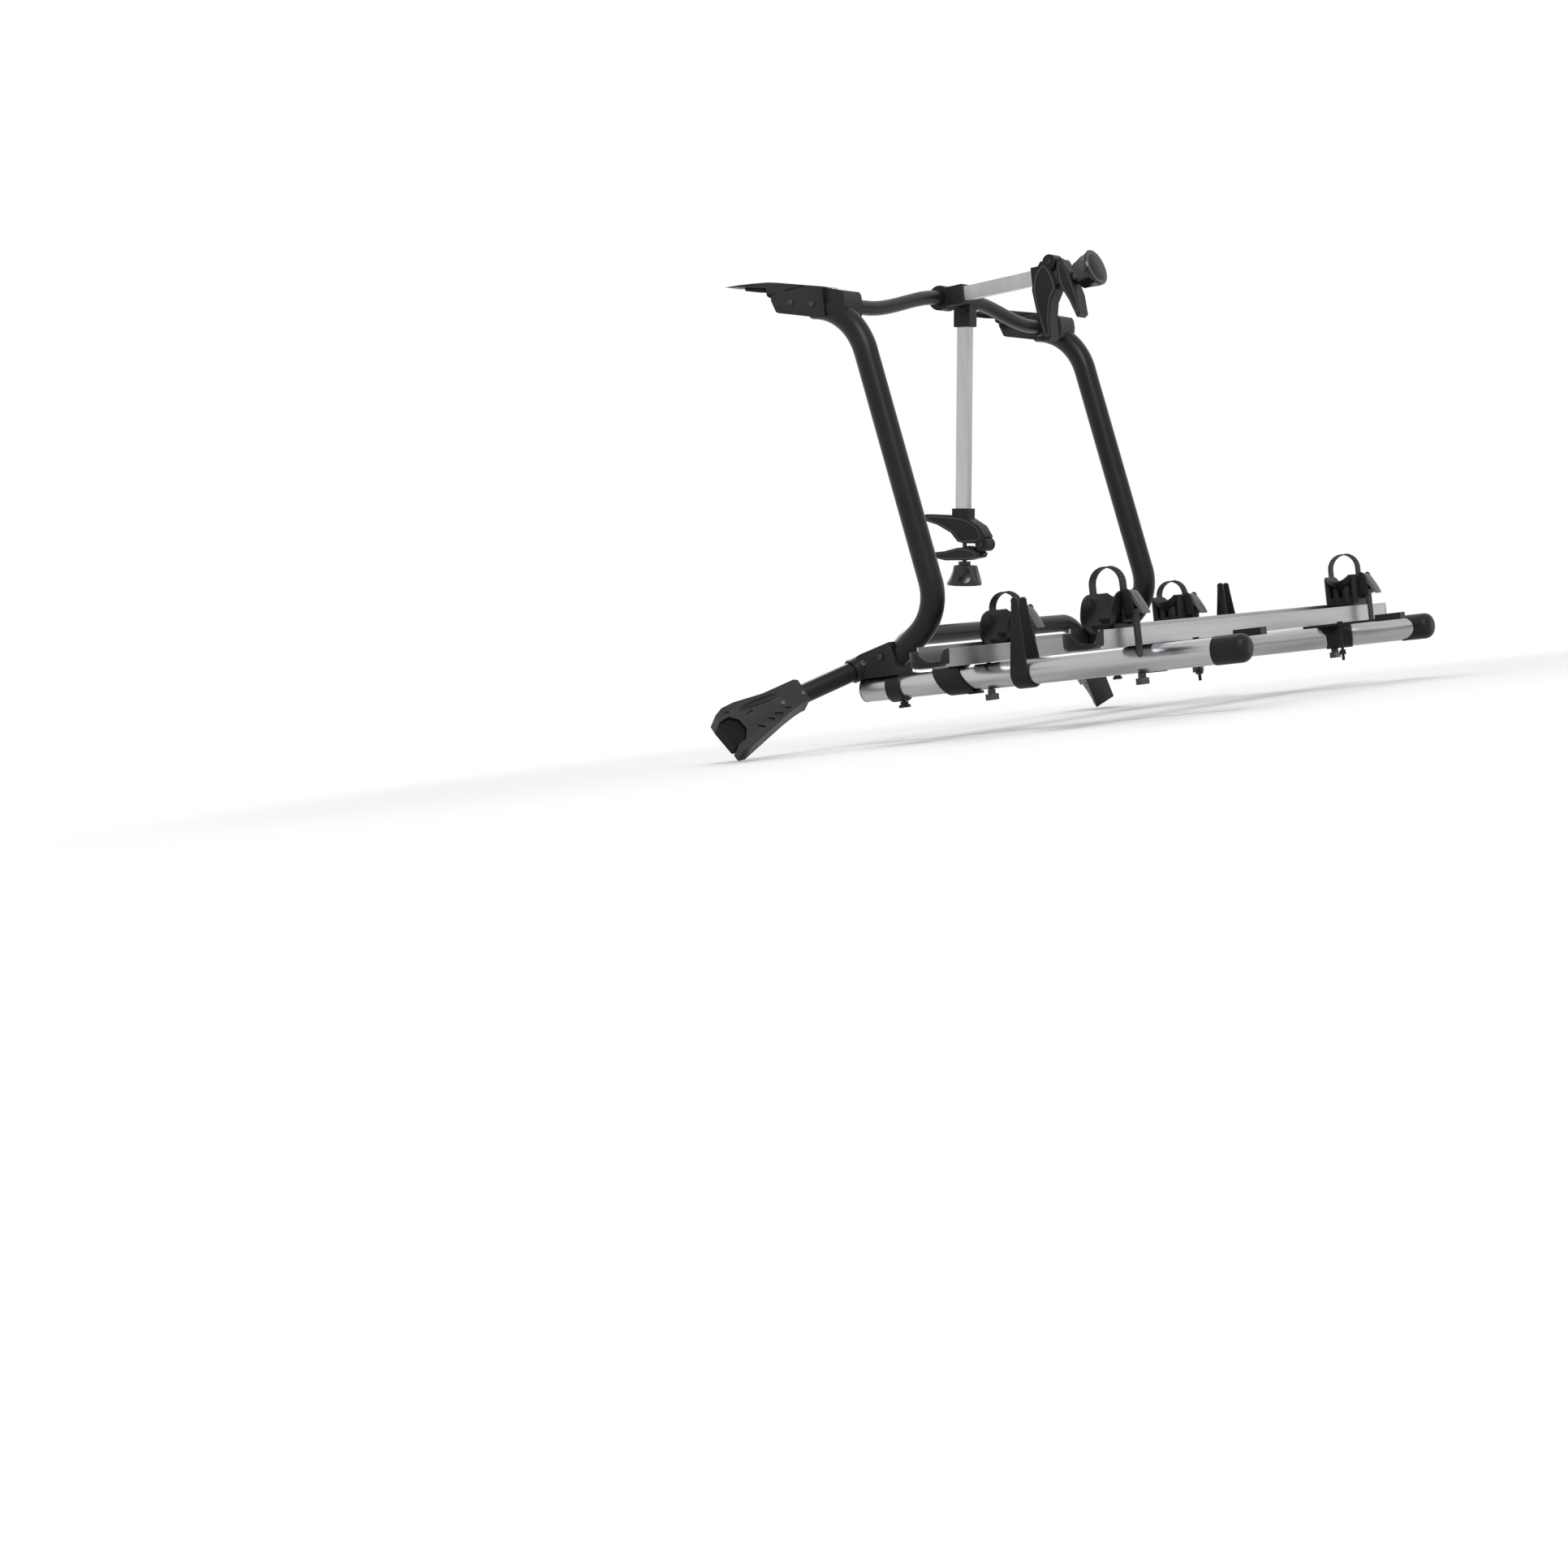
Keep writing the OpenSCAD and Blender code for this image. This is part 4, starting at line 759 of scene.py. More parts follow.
# Buckle: blocks as place across the tray, height and size, and an ear as (across, height)
BUCKLE_BLOCKS = ((0.0405, 0.0925, (0.036, 0.010, 0.021)), (0.0535, 0.088, (0.034, 0.0035, 0.010)))
EAR_OUTLINE = ((-0.0385, 0.084), (-0.0550, 0.084), (-0.0565, 0.096), (-0.0500, 0.1265),
               (-0.0455, 0.1300), (-0.0395, 0.1285), (-0.0355, 0.115))
EAR_X, EAR_HALF = 0.0165, 0.0018
BUCKLE_EDGE = 0.0012


def column(bm, axle, x, y, radius_x, radius_y, top):
    """Upright rounded column with an oval plan that ends under the saddle."""
    rings = []
    levels = [(COLUMN_LOW, 1)] + [(top - drop, share) for drop, share in COLUMN_HEAD]
    for height, share in levels:
        ring = []
        for a in circle(32):
            point = Vector((x + radius_x * share * cos(a), y + radius_y * share * sin(a), height))
            roof = under_saddle(axle, point)
            if roof is not None:
                point.z = min(height, max(COLUMN_LOW, roof))
            ring.append(point)
        rings.append(ring)
    loft(bm, rings)


def holder_foot(bm, x, y, sign):
    """Stepped foot that fills the tray below the saddle."""
    inner_end = x - sign * HOLDER_IN
    for out, z, width, height in FOOT_BLOCKS:
        end = x + sign * out
        slab(bm, ((inner_end + end) / 2, y, z), (abs(inner_end - end), width, height))


def holder_posts(bm, x, y, sign):
    """Columns under the inboard end of the saddle."""
    axle = Vector((x + sign * AXLE_X, y, AXLE_Z))
    mid = x - sign * HOLDER_IN + sign * COLUMN_IN
    for across, radius_x, radius_y, top in COLUMNS:
        column(bm, axle, mid, y + across, radius_x, radius_y, top)


def holder_sides(bm, x, y, sign):
    """Upright plates on both sides of the holder."""
    start, end = x - sign * HOLDER_IN + sign * SIDE_IN, x + sign * SIDE_OUT
    outline = [(start + (end - start) * u, z) for u, z in SIDE_OUTLINE]
    for face in (-1, 1):
        place = moved((0, y + face * SIDE_Y, 0)) @ turned(90, "X")
        prism(bm, outline, place, -SIDE_T / 2, SIDE_T / 2)


def holder_ribs(bm, x, y, sign):
    """Upright ribs on both side plates."""
    for k in range(FINS):
        rib_x = x - sign * FIN_FROM + sign * k * FIN_PITCH
        for face in (-1, 1):
            slab(bm, (rib_x, y + face * FIN_Y, FIN_Z), FIN_SIZE)


def buckle_frame(bm, x, y, sign):
    """Block and ears that carry the lever in front of the holder."""
    for across, z, size in BUCKLE_BLOCKS:
        slab(bm, (x, y - across, z), size)
    for face in (-1, 1):
        place = moved((x + face * EAR_X, y, 0)) @ OUTLINE_YZ
        prism(bm, EAR_OUTLINE, place, -EAR_HALF, EAR_HALF)


HOLDER_PIECES = (("holder_foot_", holder_foot, FOOT_EDGE),
                 ("holder_posts_", holder_posts, COLUMN_EDGE, 2, 40),
                 ("holder_sides_", holder_sides, SIDE_EDGE),
                 ("holder_ribs_", holder_ribs, FIN_EDGE, 2),
                 ("buckle_frame_", buckle_frame, BUCKLE_EDGE))


def wheel_holder(spot):
    """Wheel holder: its saddle and the pieces below and beside it."""
    x, y, sign, _ = HOLDERS[spot]
    body = BODY_OF["wheel_holder_" + spot]
    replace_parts(saddle(spot, body), "wheel_holder_" + spot)
    for name, build, *rounding in HOLDER_PIECES:
        rounded(piece(name + spot, built(build, x, y, sign), body), *rounding)


for spot in HOLDERS:
    wheel_holder(spot)
    wheel_strap(spot)
    ratchet_lever(spot)


# Struts and claws

STRUT_X = 0.473
STRUT_START = Vector((-STRUT_X, 0.293, 0.040))
STRUT_TURNS = (152, 16.2, 117.7)
CLAW_HALF = 0.024
CLAW_EDGE = 0.005
# Slots: place along and up the claw, length, width and slope in degrees
CLAW_SLOTS = ((0.246, -0.034, 0.015, 0.0045, 36), (0.220, -0.029, 0.013, 0.006, 34),
              (0.200, -0.0245, 0.017, 0.0045, 22), (0.177, -0.0215, 0.013, 0.0035, 14),
              (0.294, 0.021, 0.010, 0.004, -8), (0.253, 0.002, 0.016, 0.0045, -14))
CLAW_SLOT_CUT = 0.007
# Flute: a long hollow with its middle above the face
FLUTE_PLACE, FLUTE_SLOPE = (0.222, 0.0145, 0), 4
FLUTE_SIZE, FLUTE_LIFT = (0.052, 0.0075, 0.0065, 1), 0.003
CLAW_BOLTS = ((0.181, -0.008), (0.133, -0.007))
CLAW_SCREW = (0.0095, 0.0016)
COLLAR_BOLT, COLLAR_SCREW = (-0.013, -0.003, -0.0235), (0.0125, 0.0035)
BOSS_H = 0.0025
JOINT_BOLT_Y, JOINT_BOLT_Z, JOINT_SCREW = 0.227, 0.061, (0.0110, 0.0022)
STUB_END_Y = 0.287
STUB_RIM = ((0, -0.003), (0.0222, -0.003), (0.0222, -0.0001), (0.0252, -0.0001),
            (0.0254, 0.0003), (0.0252, 0.0016), (0.0235, 0.0024), (0, 0.0026))


def strut_place(sign):
    """Frame of a strut: X down the strut, Y up across the claw, face along -Z."""
    splay, droop, roll = STRUT_TURNS
    turn = turned(splay, "Z") @ turned(droop, "Y") @ turned(roll, "X")
    left = moved(STRUT_START) @ turn
    return left if sign < 0 else Matrix.Diagonal((-1, 1, 1, 1)) @ left


def claw(side, strut):
    """Claw with its slots, flutes and screws."""
    cutters = bmesh.new()
    for along, up, length, width, slope in CLAW_SLOTS:
        for face in (-1, 1):
            place = strut @ moved((along, up, face * CLAW_HALF)) @ turned(slope, "Z")
            slab(cutters, (0, 0, 0), (length, width, CLAW_SLOT_CUT), place)
    flute = strut @ moved(FLUTE_PLACE) @ turned(FLUTE_SLOPE, "Z")
    for face in (-1, 1):
        place = flute @ moved((0, 0, face * (CLAW_HALF + FLUTE_LIFT))) @ Matrix.Diagonal(FLUTE_SIZE)
        bmesh.ops.create_uvsphere(cutters, u_segments=40, v_segments=20, radius=1, matrix=place)
    carved(softened("claw_" + side, CLAW_EDGE, 4), cutters)
    for number, (along, up) in enumerate(CLAW_BOLTS):
        for face in (-1, 1):
            screw("claw_screw_%s_%d_%d" % (side, number, face + 1), BODY_OF["claw_" + side],
                  strut @ Vector((along, up, face * CLAW_HALF)),
                  strut.to_3x3() @ Vector((0, 0, face)), CLAW_SCREW)


for side, sign in SIDES.items():
    strut = strut_place(sign)
    claw(side, strut)
    screw("collar_screw_" + side, "frame", strut @ Vector(COLLAR_BOLT),
          strut.to_3x3() @ Vector((0, 0, -1)), COLLAR_SCREW)
    screw("joint_screw_" + side, "frame",
          (sign * (STRUT_X + BOSS_H), JOINT_BOLT_Y, JOINT_BOLT_Z), (sign, 0, 0), JOINT_SCREW)
    place = axis_frame((sign * RAIL_X, STUB_END_Y, 0), (0, 1, 0))
    piece("stub_end_" + side, built(lathe, STUB_RIM, place, 64), "frame")


# Top crossbar: level from each roof hook, then one eased rise to the arms

BAR_R = 0.015
BAR_END, BAR_END_Z = 0.427, 0.767
# Distances from the middle where a half's rise starts and where it ends
BAR_RISE = {-1: (0.305, 0.020), 1: (0.360, 0.112)}
BAR_PLACES, BAR_STEP, BAR_SIDES = 80, 0.006, 48


def bowed_bar():
    """Round bar along its bowed line."""
    places = []
    for i in range(BAR_PLACES + 1):
        x = -BAR_END + 2 * BAR_END * i / BAR_PLACES
        foot, top = BAR_RISE[1 if x > 0 else -1]
        t = max(0, min(1, (foot - abs(x)) / (foot - top)))
        places.append((x, BAR_Y, BAR_END_Z + (BAR_TOP_Z - BAR_END_Z) * smooth_rise(t)))
    far = Vector((0, 1, 0))
    rings = []
    for point, ahead in walk(places, BAR_STEP):
        up = ahead.cross(far).normalized() * -1
        rings.append([point + far * BAR_R * cos(a) + up * BAR_R * sin(a)
                      for a in circle(BAR_SIDES)])
    obj = piece("bowed_crossbar", built(loft, rings), "frame", "black_tube")
    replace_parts(obj, "top_crossbar")


bowed_bar()


# Upright clips: the same moulding on both rails, with legs that lean apart

CLIP_Y, CLIP_TOP = -0.081, 0.136
CLIP_R = 0.0282
CLIP_HALF, CLIP_TIP_HALF = 0.019, 0.0065
CLIP_LEAN = 0.007
CLIP_EDGE = 0.0009
LEG_STEPS, LOOP_STEPS = 10, 24
# Section of the band: share of its half width, and distance out of its middle
CLIP_SECTION = ((-1, -0.0026), (-1, 0.0016), (-0.8, 0.0028), (0.8, 0.0028), (1, 0.0016),
                (1, -0.0026))
CLIP_TIP = ((0, -0.0036), (0.0058, -0.0036), (0.0068, -0.0024), (0.0068, 0.0024),
            (0.0058, 0.0036), (0, 0.0036))


def clip_leg(face):
    """Stations up a leg of a clip: place from the rail, half width and direction out of it."""
    stations = []
    for i in range(LEG_STEPS + 1):
        t = i / LEG_STEPS
        place = (face * CLIP_R, CLIP_Y + face * CLIP_LEAN * t, CLIP_TOP * t)
        width = CLIP_HALF + (CLIP_TIP_HALF - CLIP_HALF) * t
        stations.append((place, width, Vector((face, 0, 0))))
    return stations


def clip_loop():
    """The same stations round the underside of the rail."""
    stations = []
    for i in range(1, LOOP_STEPS):
        a = pi + pi * i / LOOP_STEPS
        place = (CLIP_R * cos(a), CLIP_Y, CLIP_R * sin(a))
        stations.append((place, CLIP_HALF, Vector((cos(a), 0, sin(a)))))
    return stations


def upright_clip(side, sign):
    """Band of a clip and the round tips of its legs."""
    rings = []
    for (x, y, z), width, out in clip_leg(-1)[::-1] + clip_loop() + clip_leg(1):
        centre = Vector((sign * RAIL_X + x, y, z))
        rings.append([centre + Vector((0, width * w, 0)) + out * o for w, o in CLIP_SECTION])
    band = rounded(piece("clip_" + side, built(loft, rings), "platform"), CLIP_EDGE, 2, 50)
    bm = bmesh.new()
    for face in (-1, 1):
        tip = (sign * RAIL_X + face * CLIP_R, CLIP_Y + face * CLIP_LEAN, CLIP_TOP)
        lathe(bm, CLIP_TIP, axis_frame(tip, (1, 0, 0)), 28)
    piece("clip_tips_" + side, bm, "platform")
    return band


clips = [upright_clip(side, sign) for side, sign in SIDES.items()]
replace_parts(clips[0], "upright_clips")


# Saddle brackets: smooth shells on the inboard side of the rails, with a bare plate

SHELL_Y, SHELL_L = TRAY_Y["outer"] + 0.038, 0.092
SHELL_ROWS = 30
# Turns of both ends in degrees, shares of the length where the near and the far edge lie at
# even heights from the bottom to the top, inner and outer radius, and width of the rounding
BRACKET = ((24, 158), (0.26, 0.36, 0.37, 0.24, 0.03), (0.91, 0.97, 0.99, 0.97, 0.91),
           (RAIL_R + 0.0003, RAIL_R + 0.0045), 0.0014)
BARE_PLATE = ((64, 112), (0.48, 0.48), (0.90, 0.90), (RAIL_R + 0.0040, RAIL_R + 0.0056), 0.0007)


def eased(values, t):
    """Value at t from 0 to 1 along evenly placed values."""
    at = t * (len(values) - 1)
    k = min(int(at), len(values) - 2)
    share = (smooth_rise(at - k) + at - k) / 2
    return values[k] + (values[k + 1] - values[k]) * share


def shell(name, sign, turns, near, far, radii, width):
    """Curved plate about a rail: turns in degrees from straight up, on the inboard side."""
    middle = Vector((sign * RAIL_X, 0, 0))
    low, high = radii
    rings = []
    for i in range(SHELL_ROWS + 1):
        a = radians(turns[0] + (turns[1] - turns[0]) * i / SHELL_ROWS)
        height = (cos(a) + 1) / 2
        out = Vector((-sign * sin(a), 0, cos(a)))
        corners = ((low, near), (low, far), (high, far), (high, near))
        rings.append([middle + out * radius
                      + Vector((0, SHELL_Y - eased(shares, height) * SHELL_L, 0))
                      for radius, shares in corners])
    return rounded(piece(name, built(loft, rings), "platform", sharp=50), width, 3, 50)


brackets = []
for side, sign in SIDES.items():
    brackets.append(shell("rail_saddle_" + side, sign, *BRACKET))
    shell("bare_plate_" + side, sign, *BARE_PLATE)
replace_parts(brackets[0], "saddle_brackets")


# Tray ends: a scoop on the left and a dark slanted plug on the right

TRAY_L, TRAY_SHIFT = 1.315, 0.0145
TRAY_LEFT, TRAY_RIGHT = TRAY_SHIFT - TRAY_L / 2, TRAY_SHIFT + TRAY_L / 2
SCOOP_L, SCOOP_HALF = 0.047, 0.0318
SCOOP_STRAIGHT = SCOOP_L - SCOOP_HALF
SCOOP_OVERLAP = 0.009
SCOOP_Z = 0.027
SCOOP_SLANT = 0.14
WALL_STEPS, BOWL_STEPS = 14, 30
LOW_RIM, HIGH_RIM = 0.0375, 0.0600
# Where the rim starts to rise, and over which length: along the front, and in shares across
SWEEP_FROM, SWEEP_L = -0.002, 0.025
BACK_FROM, BACK_L = -0.75, 1.2
# Section of the bowl as (inset, height): outside from the base, rim, and inside from the base
SCOOP_BASE = SCOOP_Z + 0.0002
SCOOP_OUTSIDE = ((0.016, 0), (0.008, 0.0003), (0.0035, 0.0022), (0.001, 0.0055), (0, 0.0095))
SCOOP_RIM = ((0, -0.0010), (0.0009, 0), (0.0026, 0), (0.0035, -0.0010))
SCOOP_INSIDE = ((0.0035, 0.0095), (0.0045, 0.0068), (0.0065, 0.0048), (0.0100, 0.0036),
                (0.016, 0.0034))
FLOOR_INSET = 0.0155
FLOOR_LOW, FLOOR_HIGH = SCOOP_Z + 0.0004, SCOOP_Z + 0.0034
PLUG_LOW, PLUG_TOP = 0.0265, 0.060
PLUG_OUTLINE = ((-0.0300, PLUG_LOW), (0.0300, PLUG_LOW), (0.0300, 0.0665), (0.0280, 0.0675),
                (0.0262, 0.0655), (0.0262, 0.0460), (-0.0262, 0.0460),
                (-0.0262, PLUG_TOP - 0.002), (-0.0280, PLUG_TOP), (-0.0300, PLUG_TOP - 0.001))
PLUG_FROM, PLUG_TO = 0.0001, 0.0042
PLUG_EDGE = 0.0012


def scoop_wall():
    """Stations round the bowl: distance beyond the tray, place across it, direction out."""
    span = SCOOP_STRAIGHT + SCOOP_OVERLAP
    stations = []
    for i in range(WALL_STEPS + 1):
        stations.append((-SCOOP_OVERLAP + span * i / WALL_STEPS, -SCOOP_HALF, Vector((0, -1, 0))))
    for i in range(1, BOWL_STEPS):
        a = -pi / 2 + pi * i / BOWL_STEPS
        out = Vector((-cos(a), sin(a), 0))
        stations.append((SCOOP_STRAIGHT + SCOOP_HALF * cos(a), SCOOP_HALF * sin(a), out))
    for i in range(WALL_STEPS + 1):
        stations.append((SCOOP_STRAIGHT - span * i / WALL_STEPS, SCOOP_HALF, Vector((0, 1, 0))))
    return stations


def scoop_rim(t, side):
    """Height of the rim: a low lip at the front that sweeps up to the tray's wall."""
    sweep = 1 - (t - SWEEP_FROM) / SWEEP_L if side < 0 else 0
    rise = max(0, min(1, max(sweep, (side / SCOOP_HALF - BACK_FROM) / BACK_L)))
    return LOW_RIM + (HIGH_RIM - LOW_RIM) * smooth_rise(rise)


def scoop(name, body, y):
    """Bowl that is open at its front, with a floor."""
    stations = scoop_wall()
    rings = []
    for t, side, out in stations:
        rim = scoop_rim(t, side)
        profile = ([(inset, SCOOP_BASE + h) for inset, h in SCOOP_OUTSIDE]
                   + [(inset, rim + h) for inset, h in SCOOP_RIM]
                   + [(inset, SCOOP_BASE + h) for inset, h in SCOOP_INSIDE])
        wall = Vector((TRAY_LEFT - t, y + side, 0))
        slant = SCOOP_SLANT if t < 0 else 0
        rings.append([wall - out * inset + Vector((slant * (z - SCOOP_BASE), 0, z))
                      for inset, z in profile])
    bm = built(loft, rings)
    floor = [(TRAY_LEFT - t - out.x * FLOOR_INSET, y + side - out.y * FLOOR_INSET)
             for t, side, out in stations]
    prism(bm, floor, Matrix(), FLOOR_LOW, FLOOR_HIGH)
    return piece(name, bm, body, sharp=45)


def tray_end(name, body, y):
    """Plug at the right end of a tray."""
    place = moved((TRAY_RIGHT, y, 0)) @ OUTLINE_YZ
    return rounded(piece(name, built(prism, PLUG_OUTLINE, place, PLUG_FROM, PLUG_TO), body), PLUG_EDGE)


for tray, y in TRAY_Y.items():
    tray_body = BODY_OF["tray_" + tray]
    end = scoop("scoop_" + tray, tray_body, y)
    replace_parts(end, "tray_%s_caps" % tray)
    tray_end("tray_plug_" + tray, tray_body, y)


# Bike clamps: faceted knobs and grey rubber stripes

# Arms: place on the bar, lean, length, turn of the clamp, and the bar's end in the clamp
ARMS = {"inner": (0.087, 8, 0.470, 0, 0.056, 0.036), "outer": (0, -90, 0.250, -14, 0.0186, 0.0094)}
CLAMP_L = 0.150
JAW_H = 0.044
JAW_HALF = 0.017
SPINDLE_X = 0.052
KNOB_TOP = -1.2 * JAW_H
HINGE_Y = -0.34 * JAW_H
CLAMP_SCREW = (0.0125, 0.003)


def clamp_place(arm):
    """Frame of a clamp: X to its mouth, Y to the bar's side, Z along its hinge."""
    base_x, lean, length, turn, end_x, end_y = ARMS[arm]
    bar = moved((base_x, BAR_Y, BAR_TOP_Z)) @ turned(lean, "X") @ turned(90, "Y")
    return bar @ moved((length, 0, 0)) @ turned(90 + turn, "Z") @ moved((-end_x, -end_y, 0))


KNOB_SIDES = 5
# Rings of a knob: radius, height and how sharp its facets are
KNOB_RINGS = ((0.0135, 0, 0), (0.0135, 0.0070, 0), (0.0262, 0.0085, 0.5), (0.0288, 0.0115, 0.75),
              (0.0308, 0.0205, 0.85), (0.0342, 0.0310, 0.7), (0.0374, 0.0415, 0.35),
              (0.0382, 0.0455, 0.1), (0.0382, 0.0495, 0), (0.0365, 0.0520, 0))
KNOB_FACE = ((0, 0.0515), (0.029, 0.0515), (0.029, 0.0522), (0.0275, 0.0530), (0, 0.0532))
SPINDLE_END = KNOB_TOP - 0.4 * JAW_H
SPINDLE = ((0, 0.002), (0.0048, 0.002), (0.0048, SPINDLE_END + 0.001), (0.004, SPINDLE_END),
           (0, SPINDLE_END))


def clamp_knob(arm):
    """Faceted knob with its round face and its spindle."""
    place = clamp_place(arm) @ moved((SPINDLE_X, KNOB_TOP, 0)) @ turned(90, "X")
    body = BODY_OF["clamp_knob_" + arm]
    rings = [faceted_ring(place, r, h, KNOB_SIDES, sharp) for r, h, sharp in KNOB_RINGS]
    knob = piece("knob_" + arm, built(loft, rings), body, sharp=28, mat=GLOSS_BLACK)
    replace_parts(knob, "clamp_knob_" + arm)
    piece("spindle_" + arm, built(lathe, SPINDLE, place, 24), body, "steel")
    piece("knob_face_" + arm, built(lathe, KNOB_FACE, place, 48), body)


# Stripes as shares of the clamp's length and the jaw's height, and their section as
# (outward, off the face)
STRIPE_STRAP = ((0.20, -0.66), (0.32, -0.60), (0.42, -0.62), (0.62, -0.79), (0.82, -0.88),
                (0.80, -0.96), (0.60, -1.07), (0.27, -1.04), (0.10, -0.92), (0.10, -0.78))
STRIPE_JAW = ((0.02, 0.05), (0.10, 0.50), (0.28, 0.82), (0.56, 0.95), (0.90, 1.00), (0.90, 0.84),
              (0.70, 0.62), (0.47, 0.22), (0.35, -0.18), (0.18, -0.18), (0.06, -0.10))
STRIPE_SECTION = ((-0.0016, 0.0010), (0.0016, 0.0010), (0.0019, -0.0010), (-0.0019, -0.0010))
STRIPE_STEPS = 6


def closed_curve(points, steps):
    """Smooth closed line through points."""
    count = len(points)
    line = []
    for i in range(count):
        a, b, c, d = (points[(i + k) % count] for k in (-1, 0, 1, 2))
        for t in (step / steps for step in range(steps)):
            line.append(0.5 * (2 * b + (c - a) * t + (2 * a - 5 * b + 4 * c - d) * t * t
                               + (3 * b - a - 3 * c + d) * t ** 3))
    return line


def stripe(name, node, arm, shares):
    """Raised rubber stripe that runs round both faces of a clamp half."""
    place = clamp_place(arm)
    line = closed_curve([Vector((u * CLAMP_L, v * JAW_H, 0)) for u, v in shares], STRIPE_STEPS)
    count = len(line)
    bm = bmesh.new()
    for face in (-1, 1):
        loops = []
        for out, height in STRIPE_SECTION:
            loop = []
            for i in range(count):
                ahead = (line[(i + 1) % count] - line[i - 1]).normalized()
                side = Vector((ahead.y, -ahead.x, 0))
                v = line[i] + side * out
                loop.append(bm.verts.new(place @ Vector((v.x, v.y, face * (JAW_HALF + height)))))
            loops.append(loop)
        skin(bm, loops + loops[:1])
    piece(name, bm, BODY_OF[node], "rubber_pad", mat=BAND_RUBBER)


WEB = ((0.12, -0.80), (0.15, -0.50), (0.24, -0.42), (0.33, -0.48), (0.62, -0.80), (0.30, -0.92))
WEB_HALF = 0.0125
WEB_EDGE = 0.003


def clamp_web(arm):
    """Thick root of the clamp's moving jaw."""
    outline = [(u * CLAMP_L, v * JAW_H) for u, v in WEB]
    bm = built(prism, outline, clamp_place(arm), -WEB_HALF, WEB_HALF)
    rounded(piece("clamp_web_" + arm, bm, BODY_OF["clamp_strap_" + arm]), WEB_EDGE, 4)


for arm in ARMS:
    clamp_knob(arm)
    clamp_web(arm)
    stripe("strap_stripe_" + arm, "clamp_strap_" + arm, arm, STRIPE_STRAP)
    stripe("jaw_stripe_" + arm, "clamp_jaw_" + arm, arm, STRIPE_JAW)
    clamp = clamp_place(arm)
    for face in (-1, 1):
        screw("clamp_screw_%s_%d" % (arm, face + 1), BODY_OF["clamp_jaw_" + arm],
              clamp @ Vector((0, HINGE_Y, face * JAW_HALF)),
              clamp.to_3x3() @ Vector((0, 0, face)), CLAMP_SCREW, "black_plastic", GLOSS_BLACK)


# Light, floor and camera

LAMP_LEVEL, SHOWN_LEVEL = 0.72, 1.0
# Lamps: name, place, target, size and power
LAMPS = (("key", (-2.6, -2.6, 3.4), (0, 0, 0.3), 2.2, 95),
         ("rim", (2.4, 2.6, 2.6), (0, 0, 0.4), 1.8, 45))
FLOOR_GAP, FLOOR_RADIUS = 0.002, 9.0
FADE_FROM, FADE_TO = 1.2, 2.3
CAMERA_PLACE = (-4.3757, -2.3824, 0.0177)
CAMERA_TURNS = (53.593, 2.2447, -6.4756)
CAMERA_LENS = 54.70


def area_light(name, location, target, size, power):
    """Round lamp that faces a target."""
    data = bpy.data.lights.new(name, "AREA")
    data.shape = "DISK"
    data.size = size
    data.energy = power
    obj = linked(name, data)
    obj.location = location
    obj.rotation_euler = (Vector(target) - Vector(location)).to_track_quat("-Z", "Y").to_euler()


def white_world(lamp_level, shown_level):
    """World that lights plainly and shows white to the camera, to gloss and through glass."""
    world = bpy.data.worlds.new("studio")
    scene.world = world
    world.use_nodes = True
    tree = world.node_tree
    back = tree.nodes["Background"]
    path = tree.nodes.new("ShaderNodeLightPath")
    total = path.outputs["Is Camera Ray"]
    for key in ("Is Glossy Ray", "Is Transmission Ray"):
        add = tree.nodes.new("ShaderNodeMath")
        add.operation = "MAXIMUM"
        tree.links.new(total, add.inputs[0])
        tree.links.new(path.outputs[key], add.inputs[1])
        total = add.outputs[0]
    back.inputs["Color"].default_value = (1, 1, 1, 1)
    tree.links.new(between(tree, total, lamp_level, shown_level), back.inputs["Strength"])


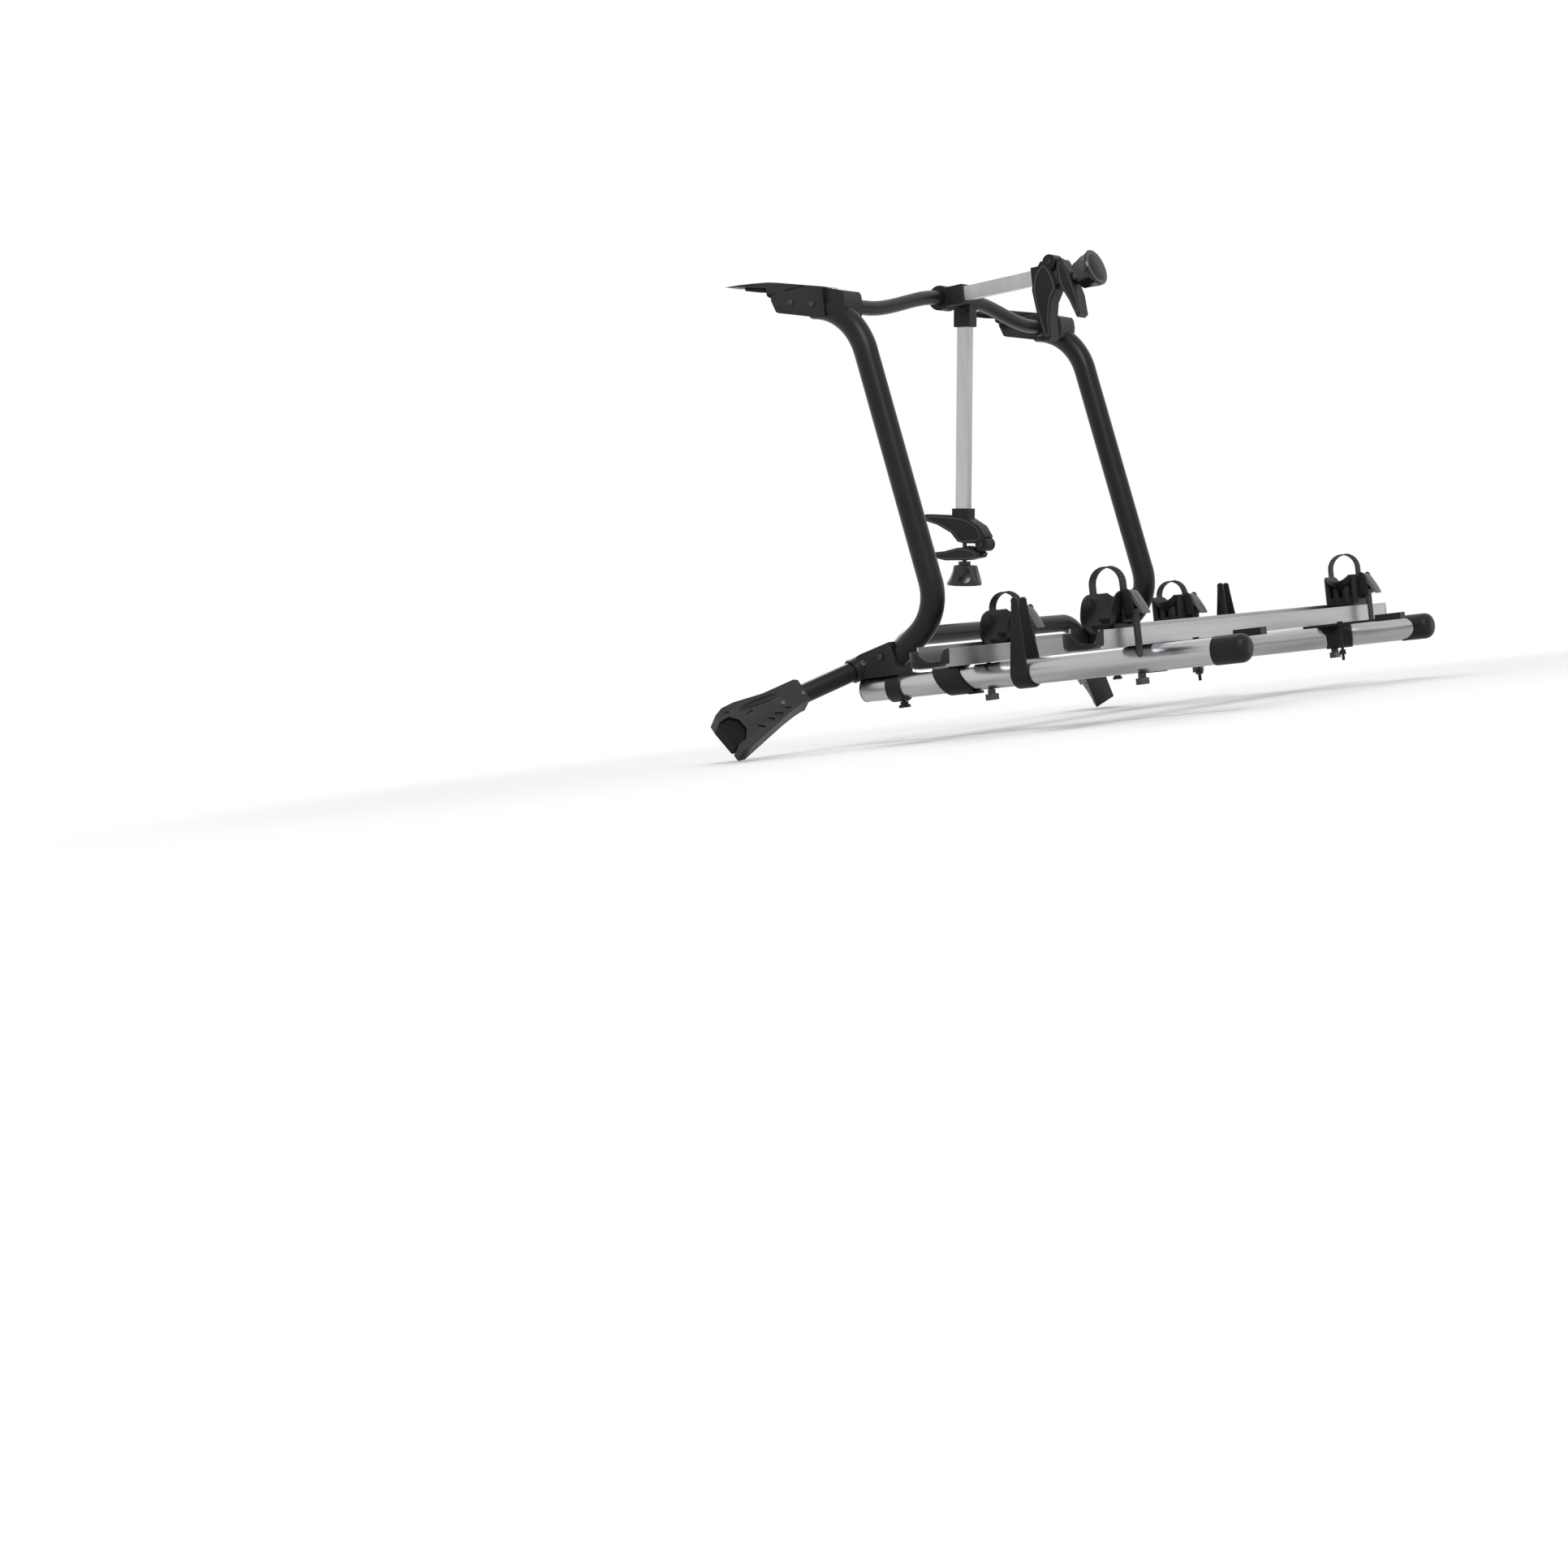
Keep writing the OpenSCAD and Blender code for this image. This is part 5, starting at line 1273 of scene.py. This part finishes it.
def pale_floor(height, radius, near, far):
    """Round floor that keeps the shadow near the object and is white further out."""
    bm = bmesh.new()
    bmesh.ops.create_circle(bm, cap_ends=True, segments=96, radius=radius)
    obj = mesh_object("floor", bm)
    obj.location = (0, 0, height)
    mat, tree, shader = material("pale floor", (0.86, 0.86, 0.86), 0.9, specular=0.1)
    white = tree.nodes.new("ShaderNodeEmission")
    coords = tree.nodes.new("ShaderNodeTexCoord")
    length = tree.nodes.new("ShaderNodeVectorMath")
    length.operation = "LENGTH"
    tree.links.new(coords.outputs["Object"], length.inputs[0])
    fade = tree.nodes.new("ShaderNodeMapRange")
    fade.interpolation_type = "SMOOTHERSTEP"
    fade.inputs["From Min"].default_value = near
    fade.inputs["From Max"].default_value = far
    tree.links.new(length.outputs["Value"], fade.inputs["Value"])
    mix = tree.nodes.new("ShaderNodeMixShader")
    tree.links.new(fade.outputs["Result"], mix.inputs["Fac"])
    tree.links.new(shader.outputs["BSDF"], mix.inputs[1])
    tree.links.new(white.outputs["Emission"], mix.inputs[2])
    tree.links.new(mix.outputs["Shader"], tree.nodes["Material Output"].inputs["Surface"])
    paint(obj, mat)


def photo_camera(location, turns, lens):
    """Camera of the photograph: yaw, pitch and roll in degrees, lens in mm on a 36 mm sensor."""
    a, b, c = (radians(v) for v in turns)
    ahead = Vector((sin(a) * cos(b), cos(a) * cos(b), -sin(b)))
    level = Vector((cos(a), -sin(a), 0))
    up = level.cross(ahead)
    right = level * cos(c) + up * sin(c)
    above = -level * sin(c) + up * cos(c)
    data = bpy.data.cameras.new("photo camera")
    data.sensor_width = 36
    data.lens = lens
    data.clip_start = 0.05
    obj = linked("photo camera", data)
    obj.matrix_world = axes(location, right, above, -ahead)
    scene.camera = obj


white_world(LAMP_LEVEL, SHOWN_LEVEL)
for lamp in LAMPS:
    area_light(*lamp)
pale_floor(cad_bounds[0][2] - FLOOR_GAP, FLOOR_RADIUS, FADE_FROM, FADE_TO)
photo_camera(CAMERA_PLACE, CAMERA_TURNS, CAMERA_LENS)
scene.view_settings.view_transform = "Standard"
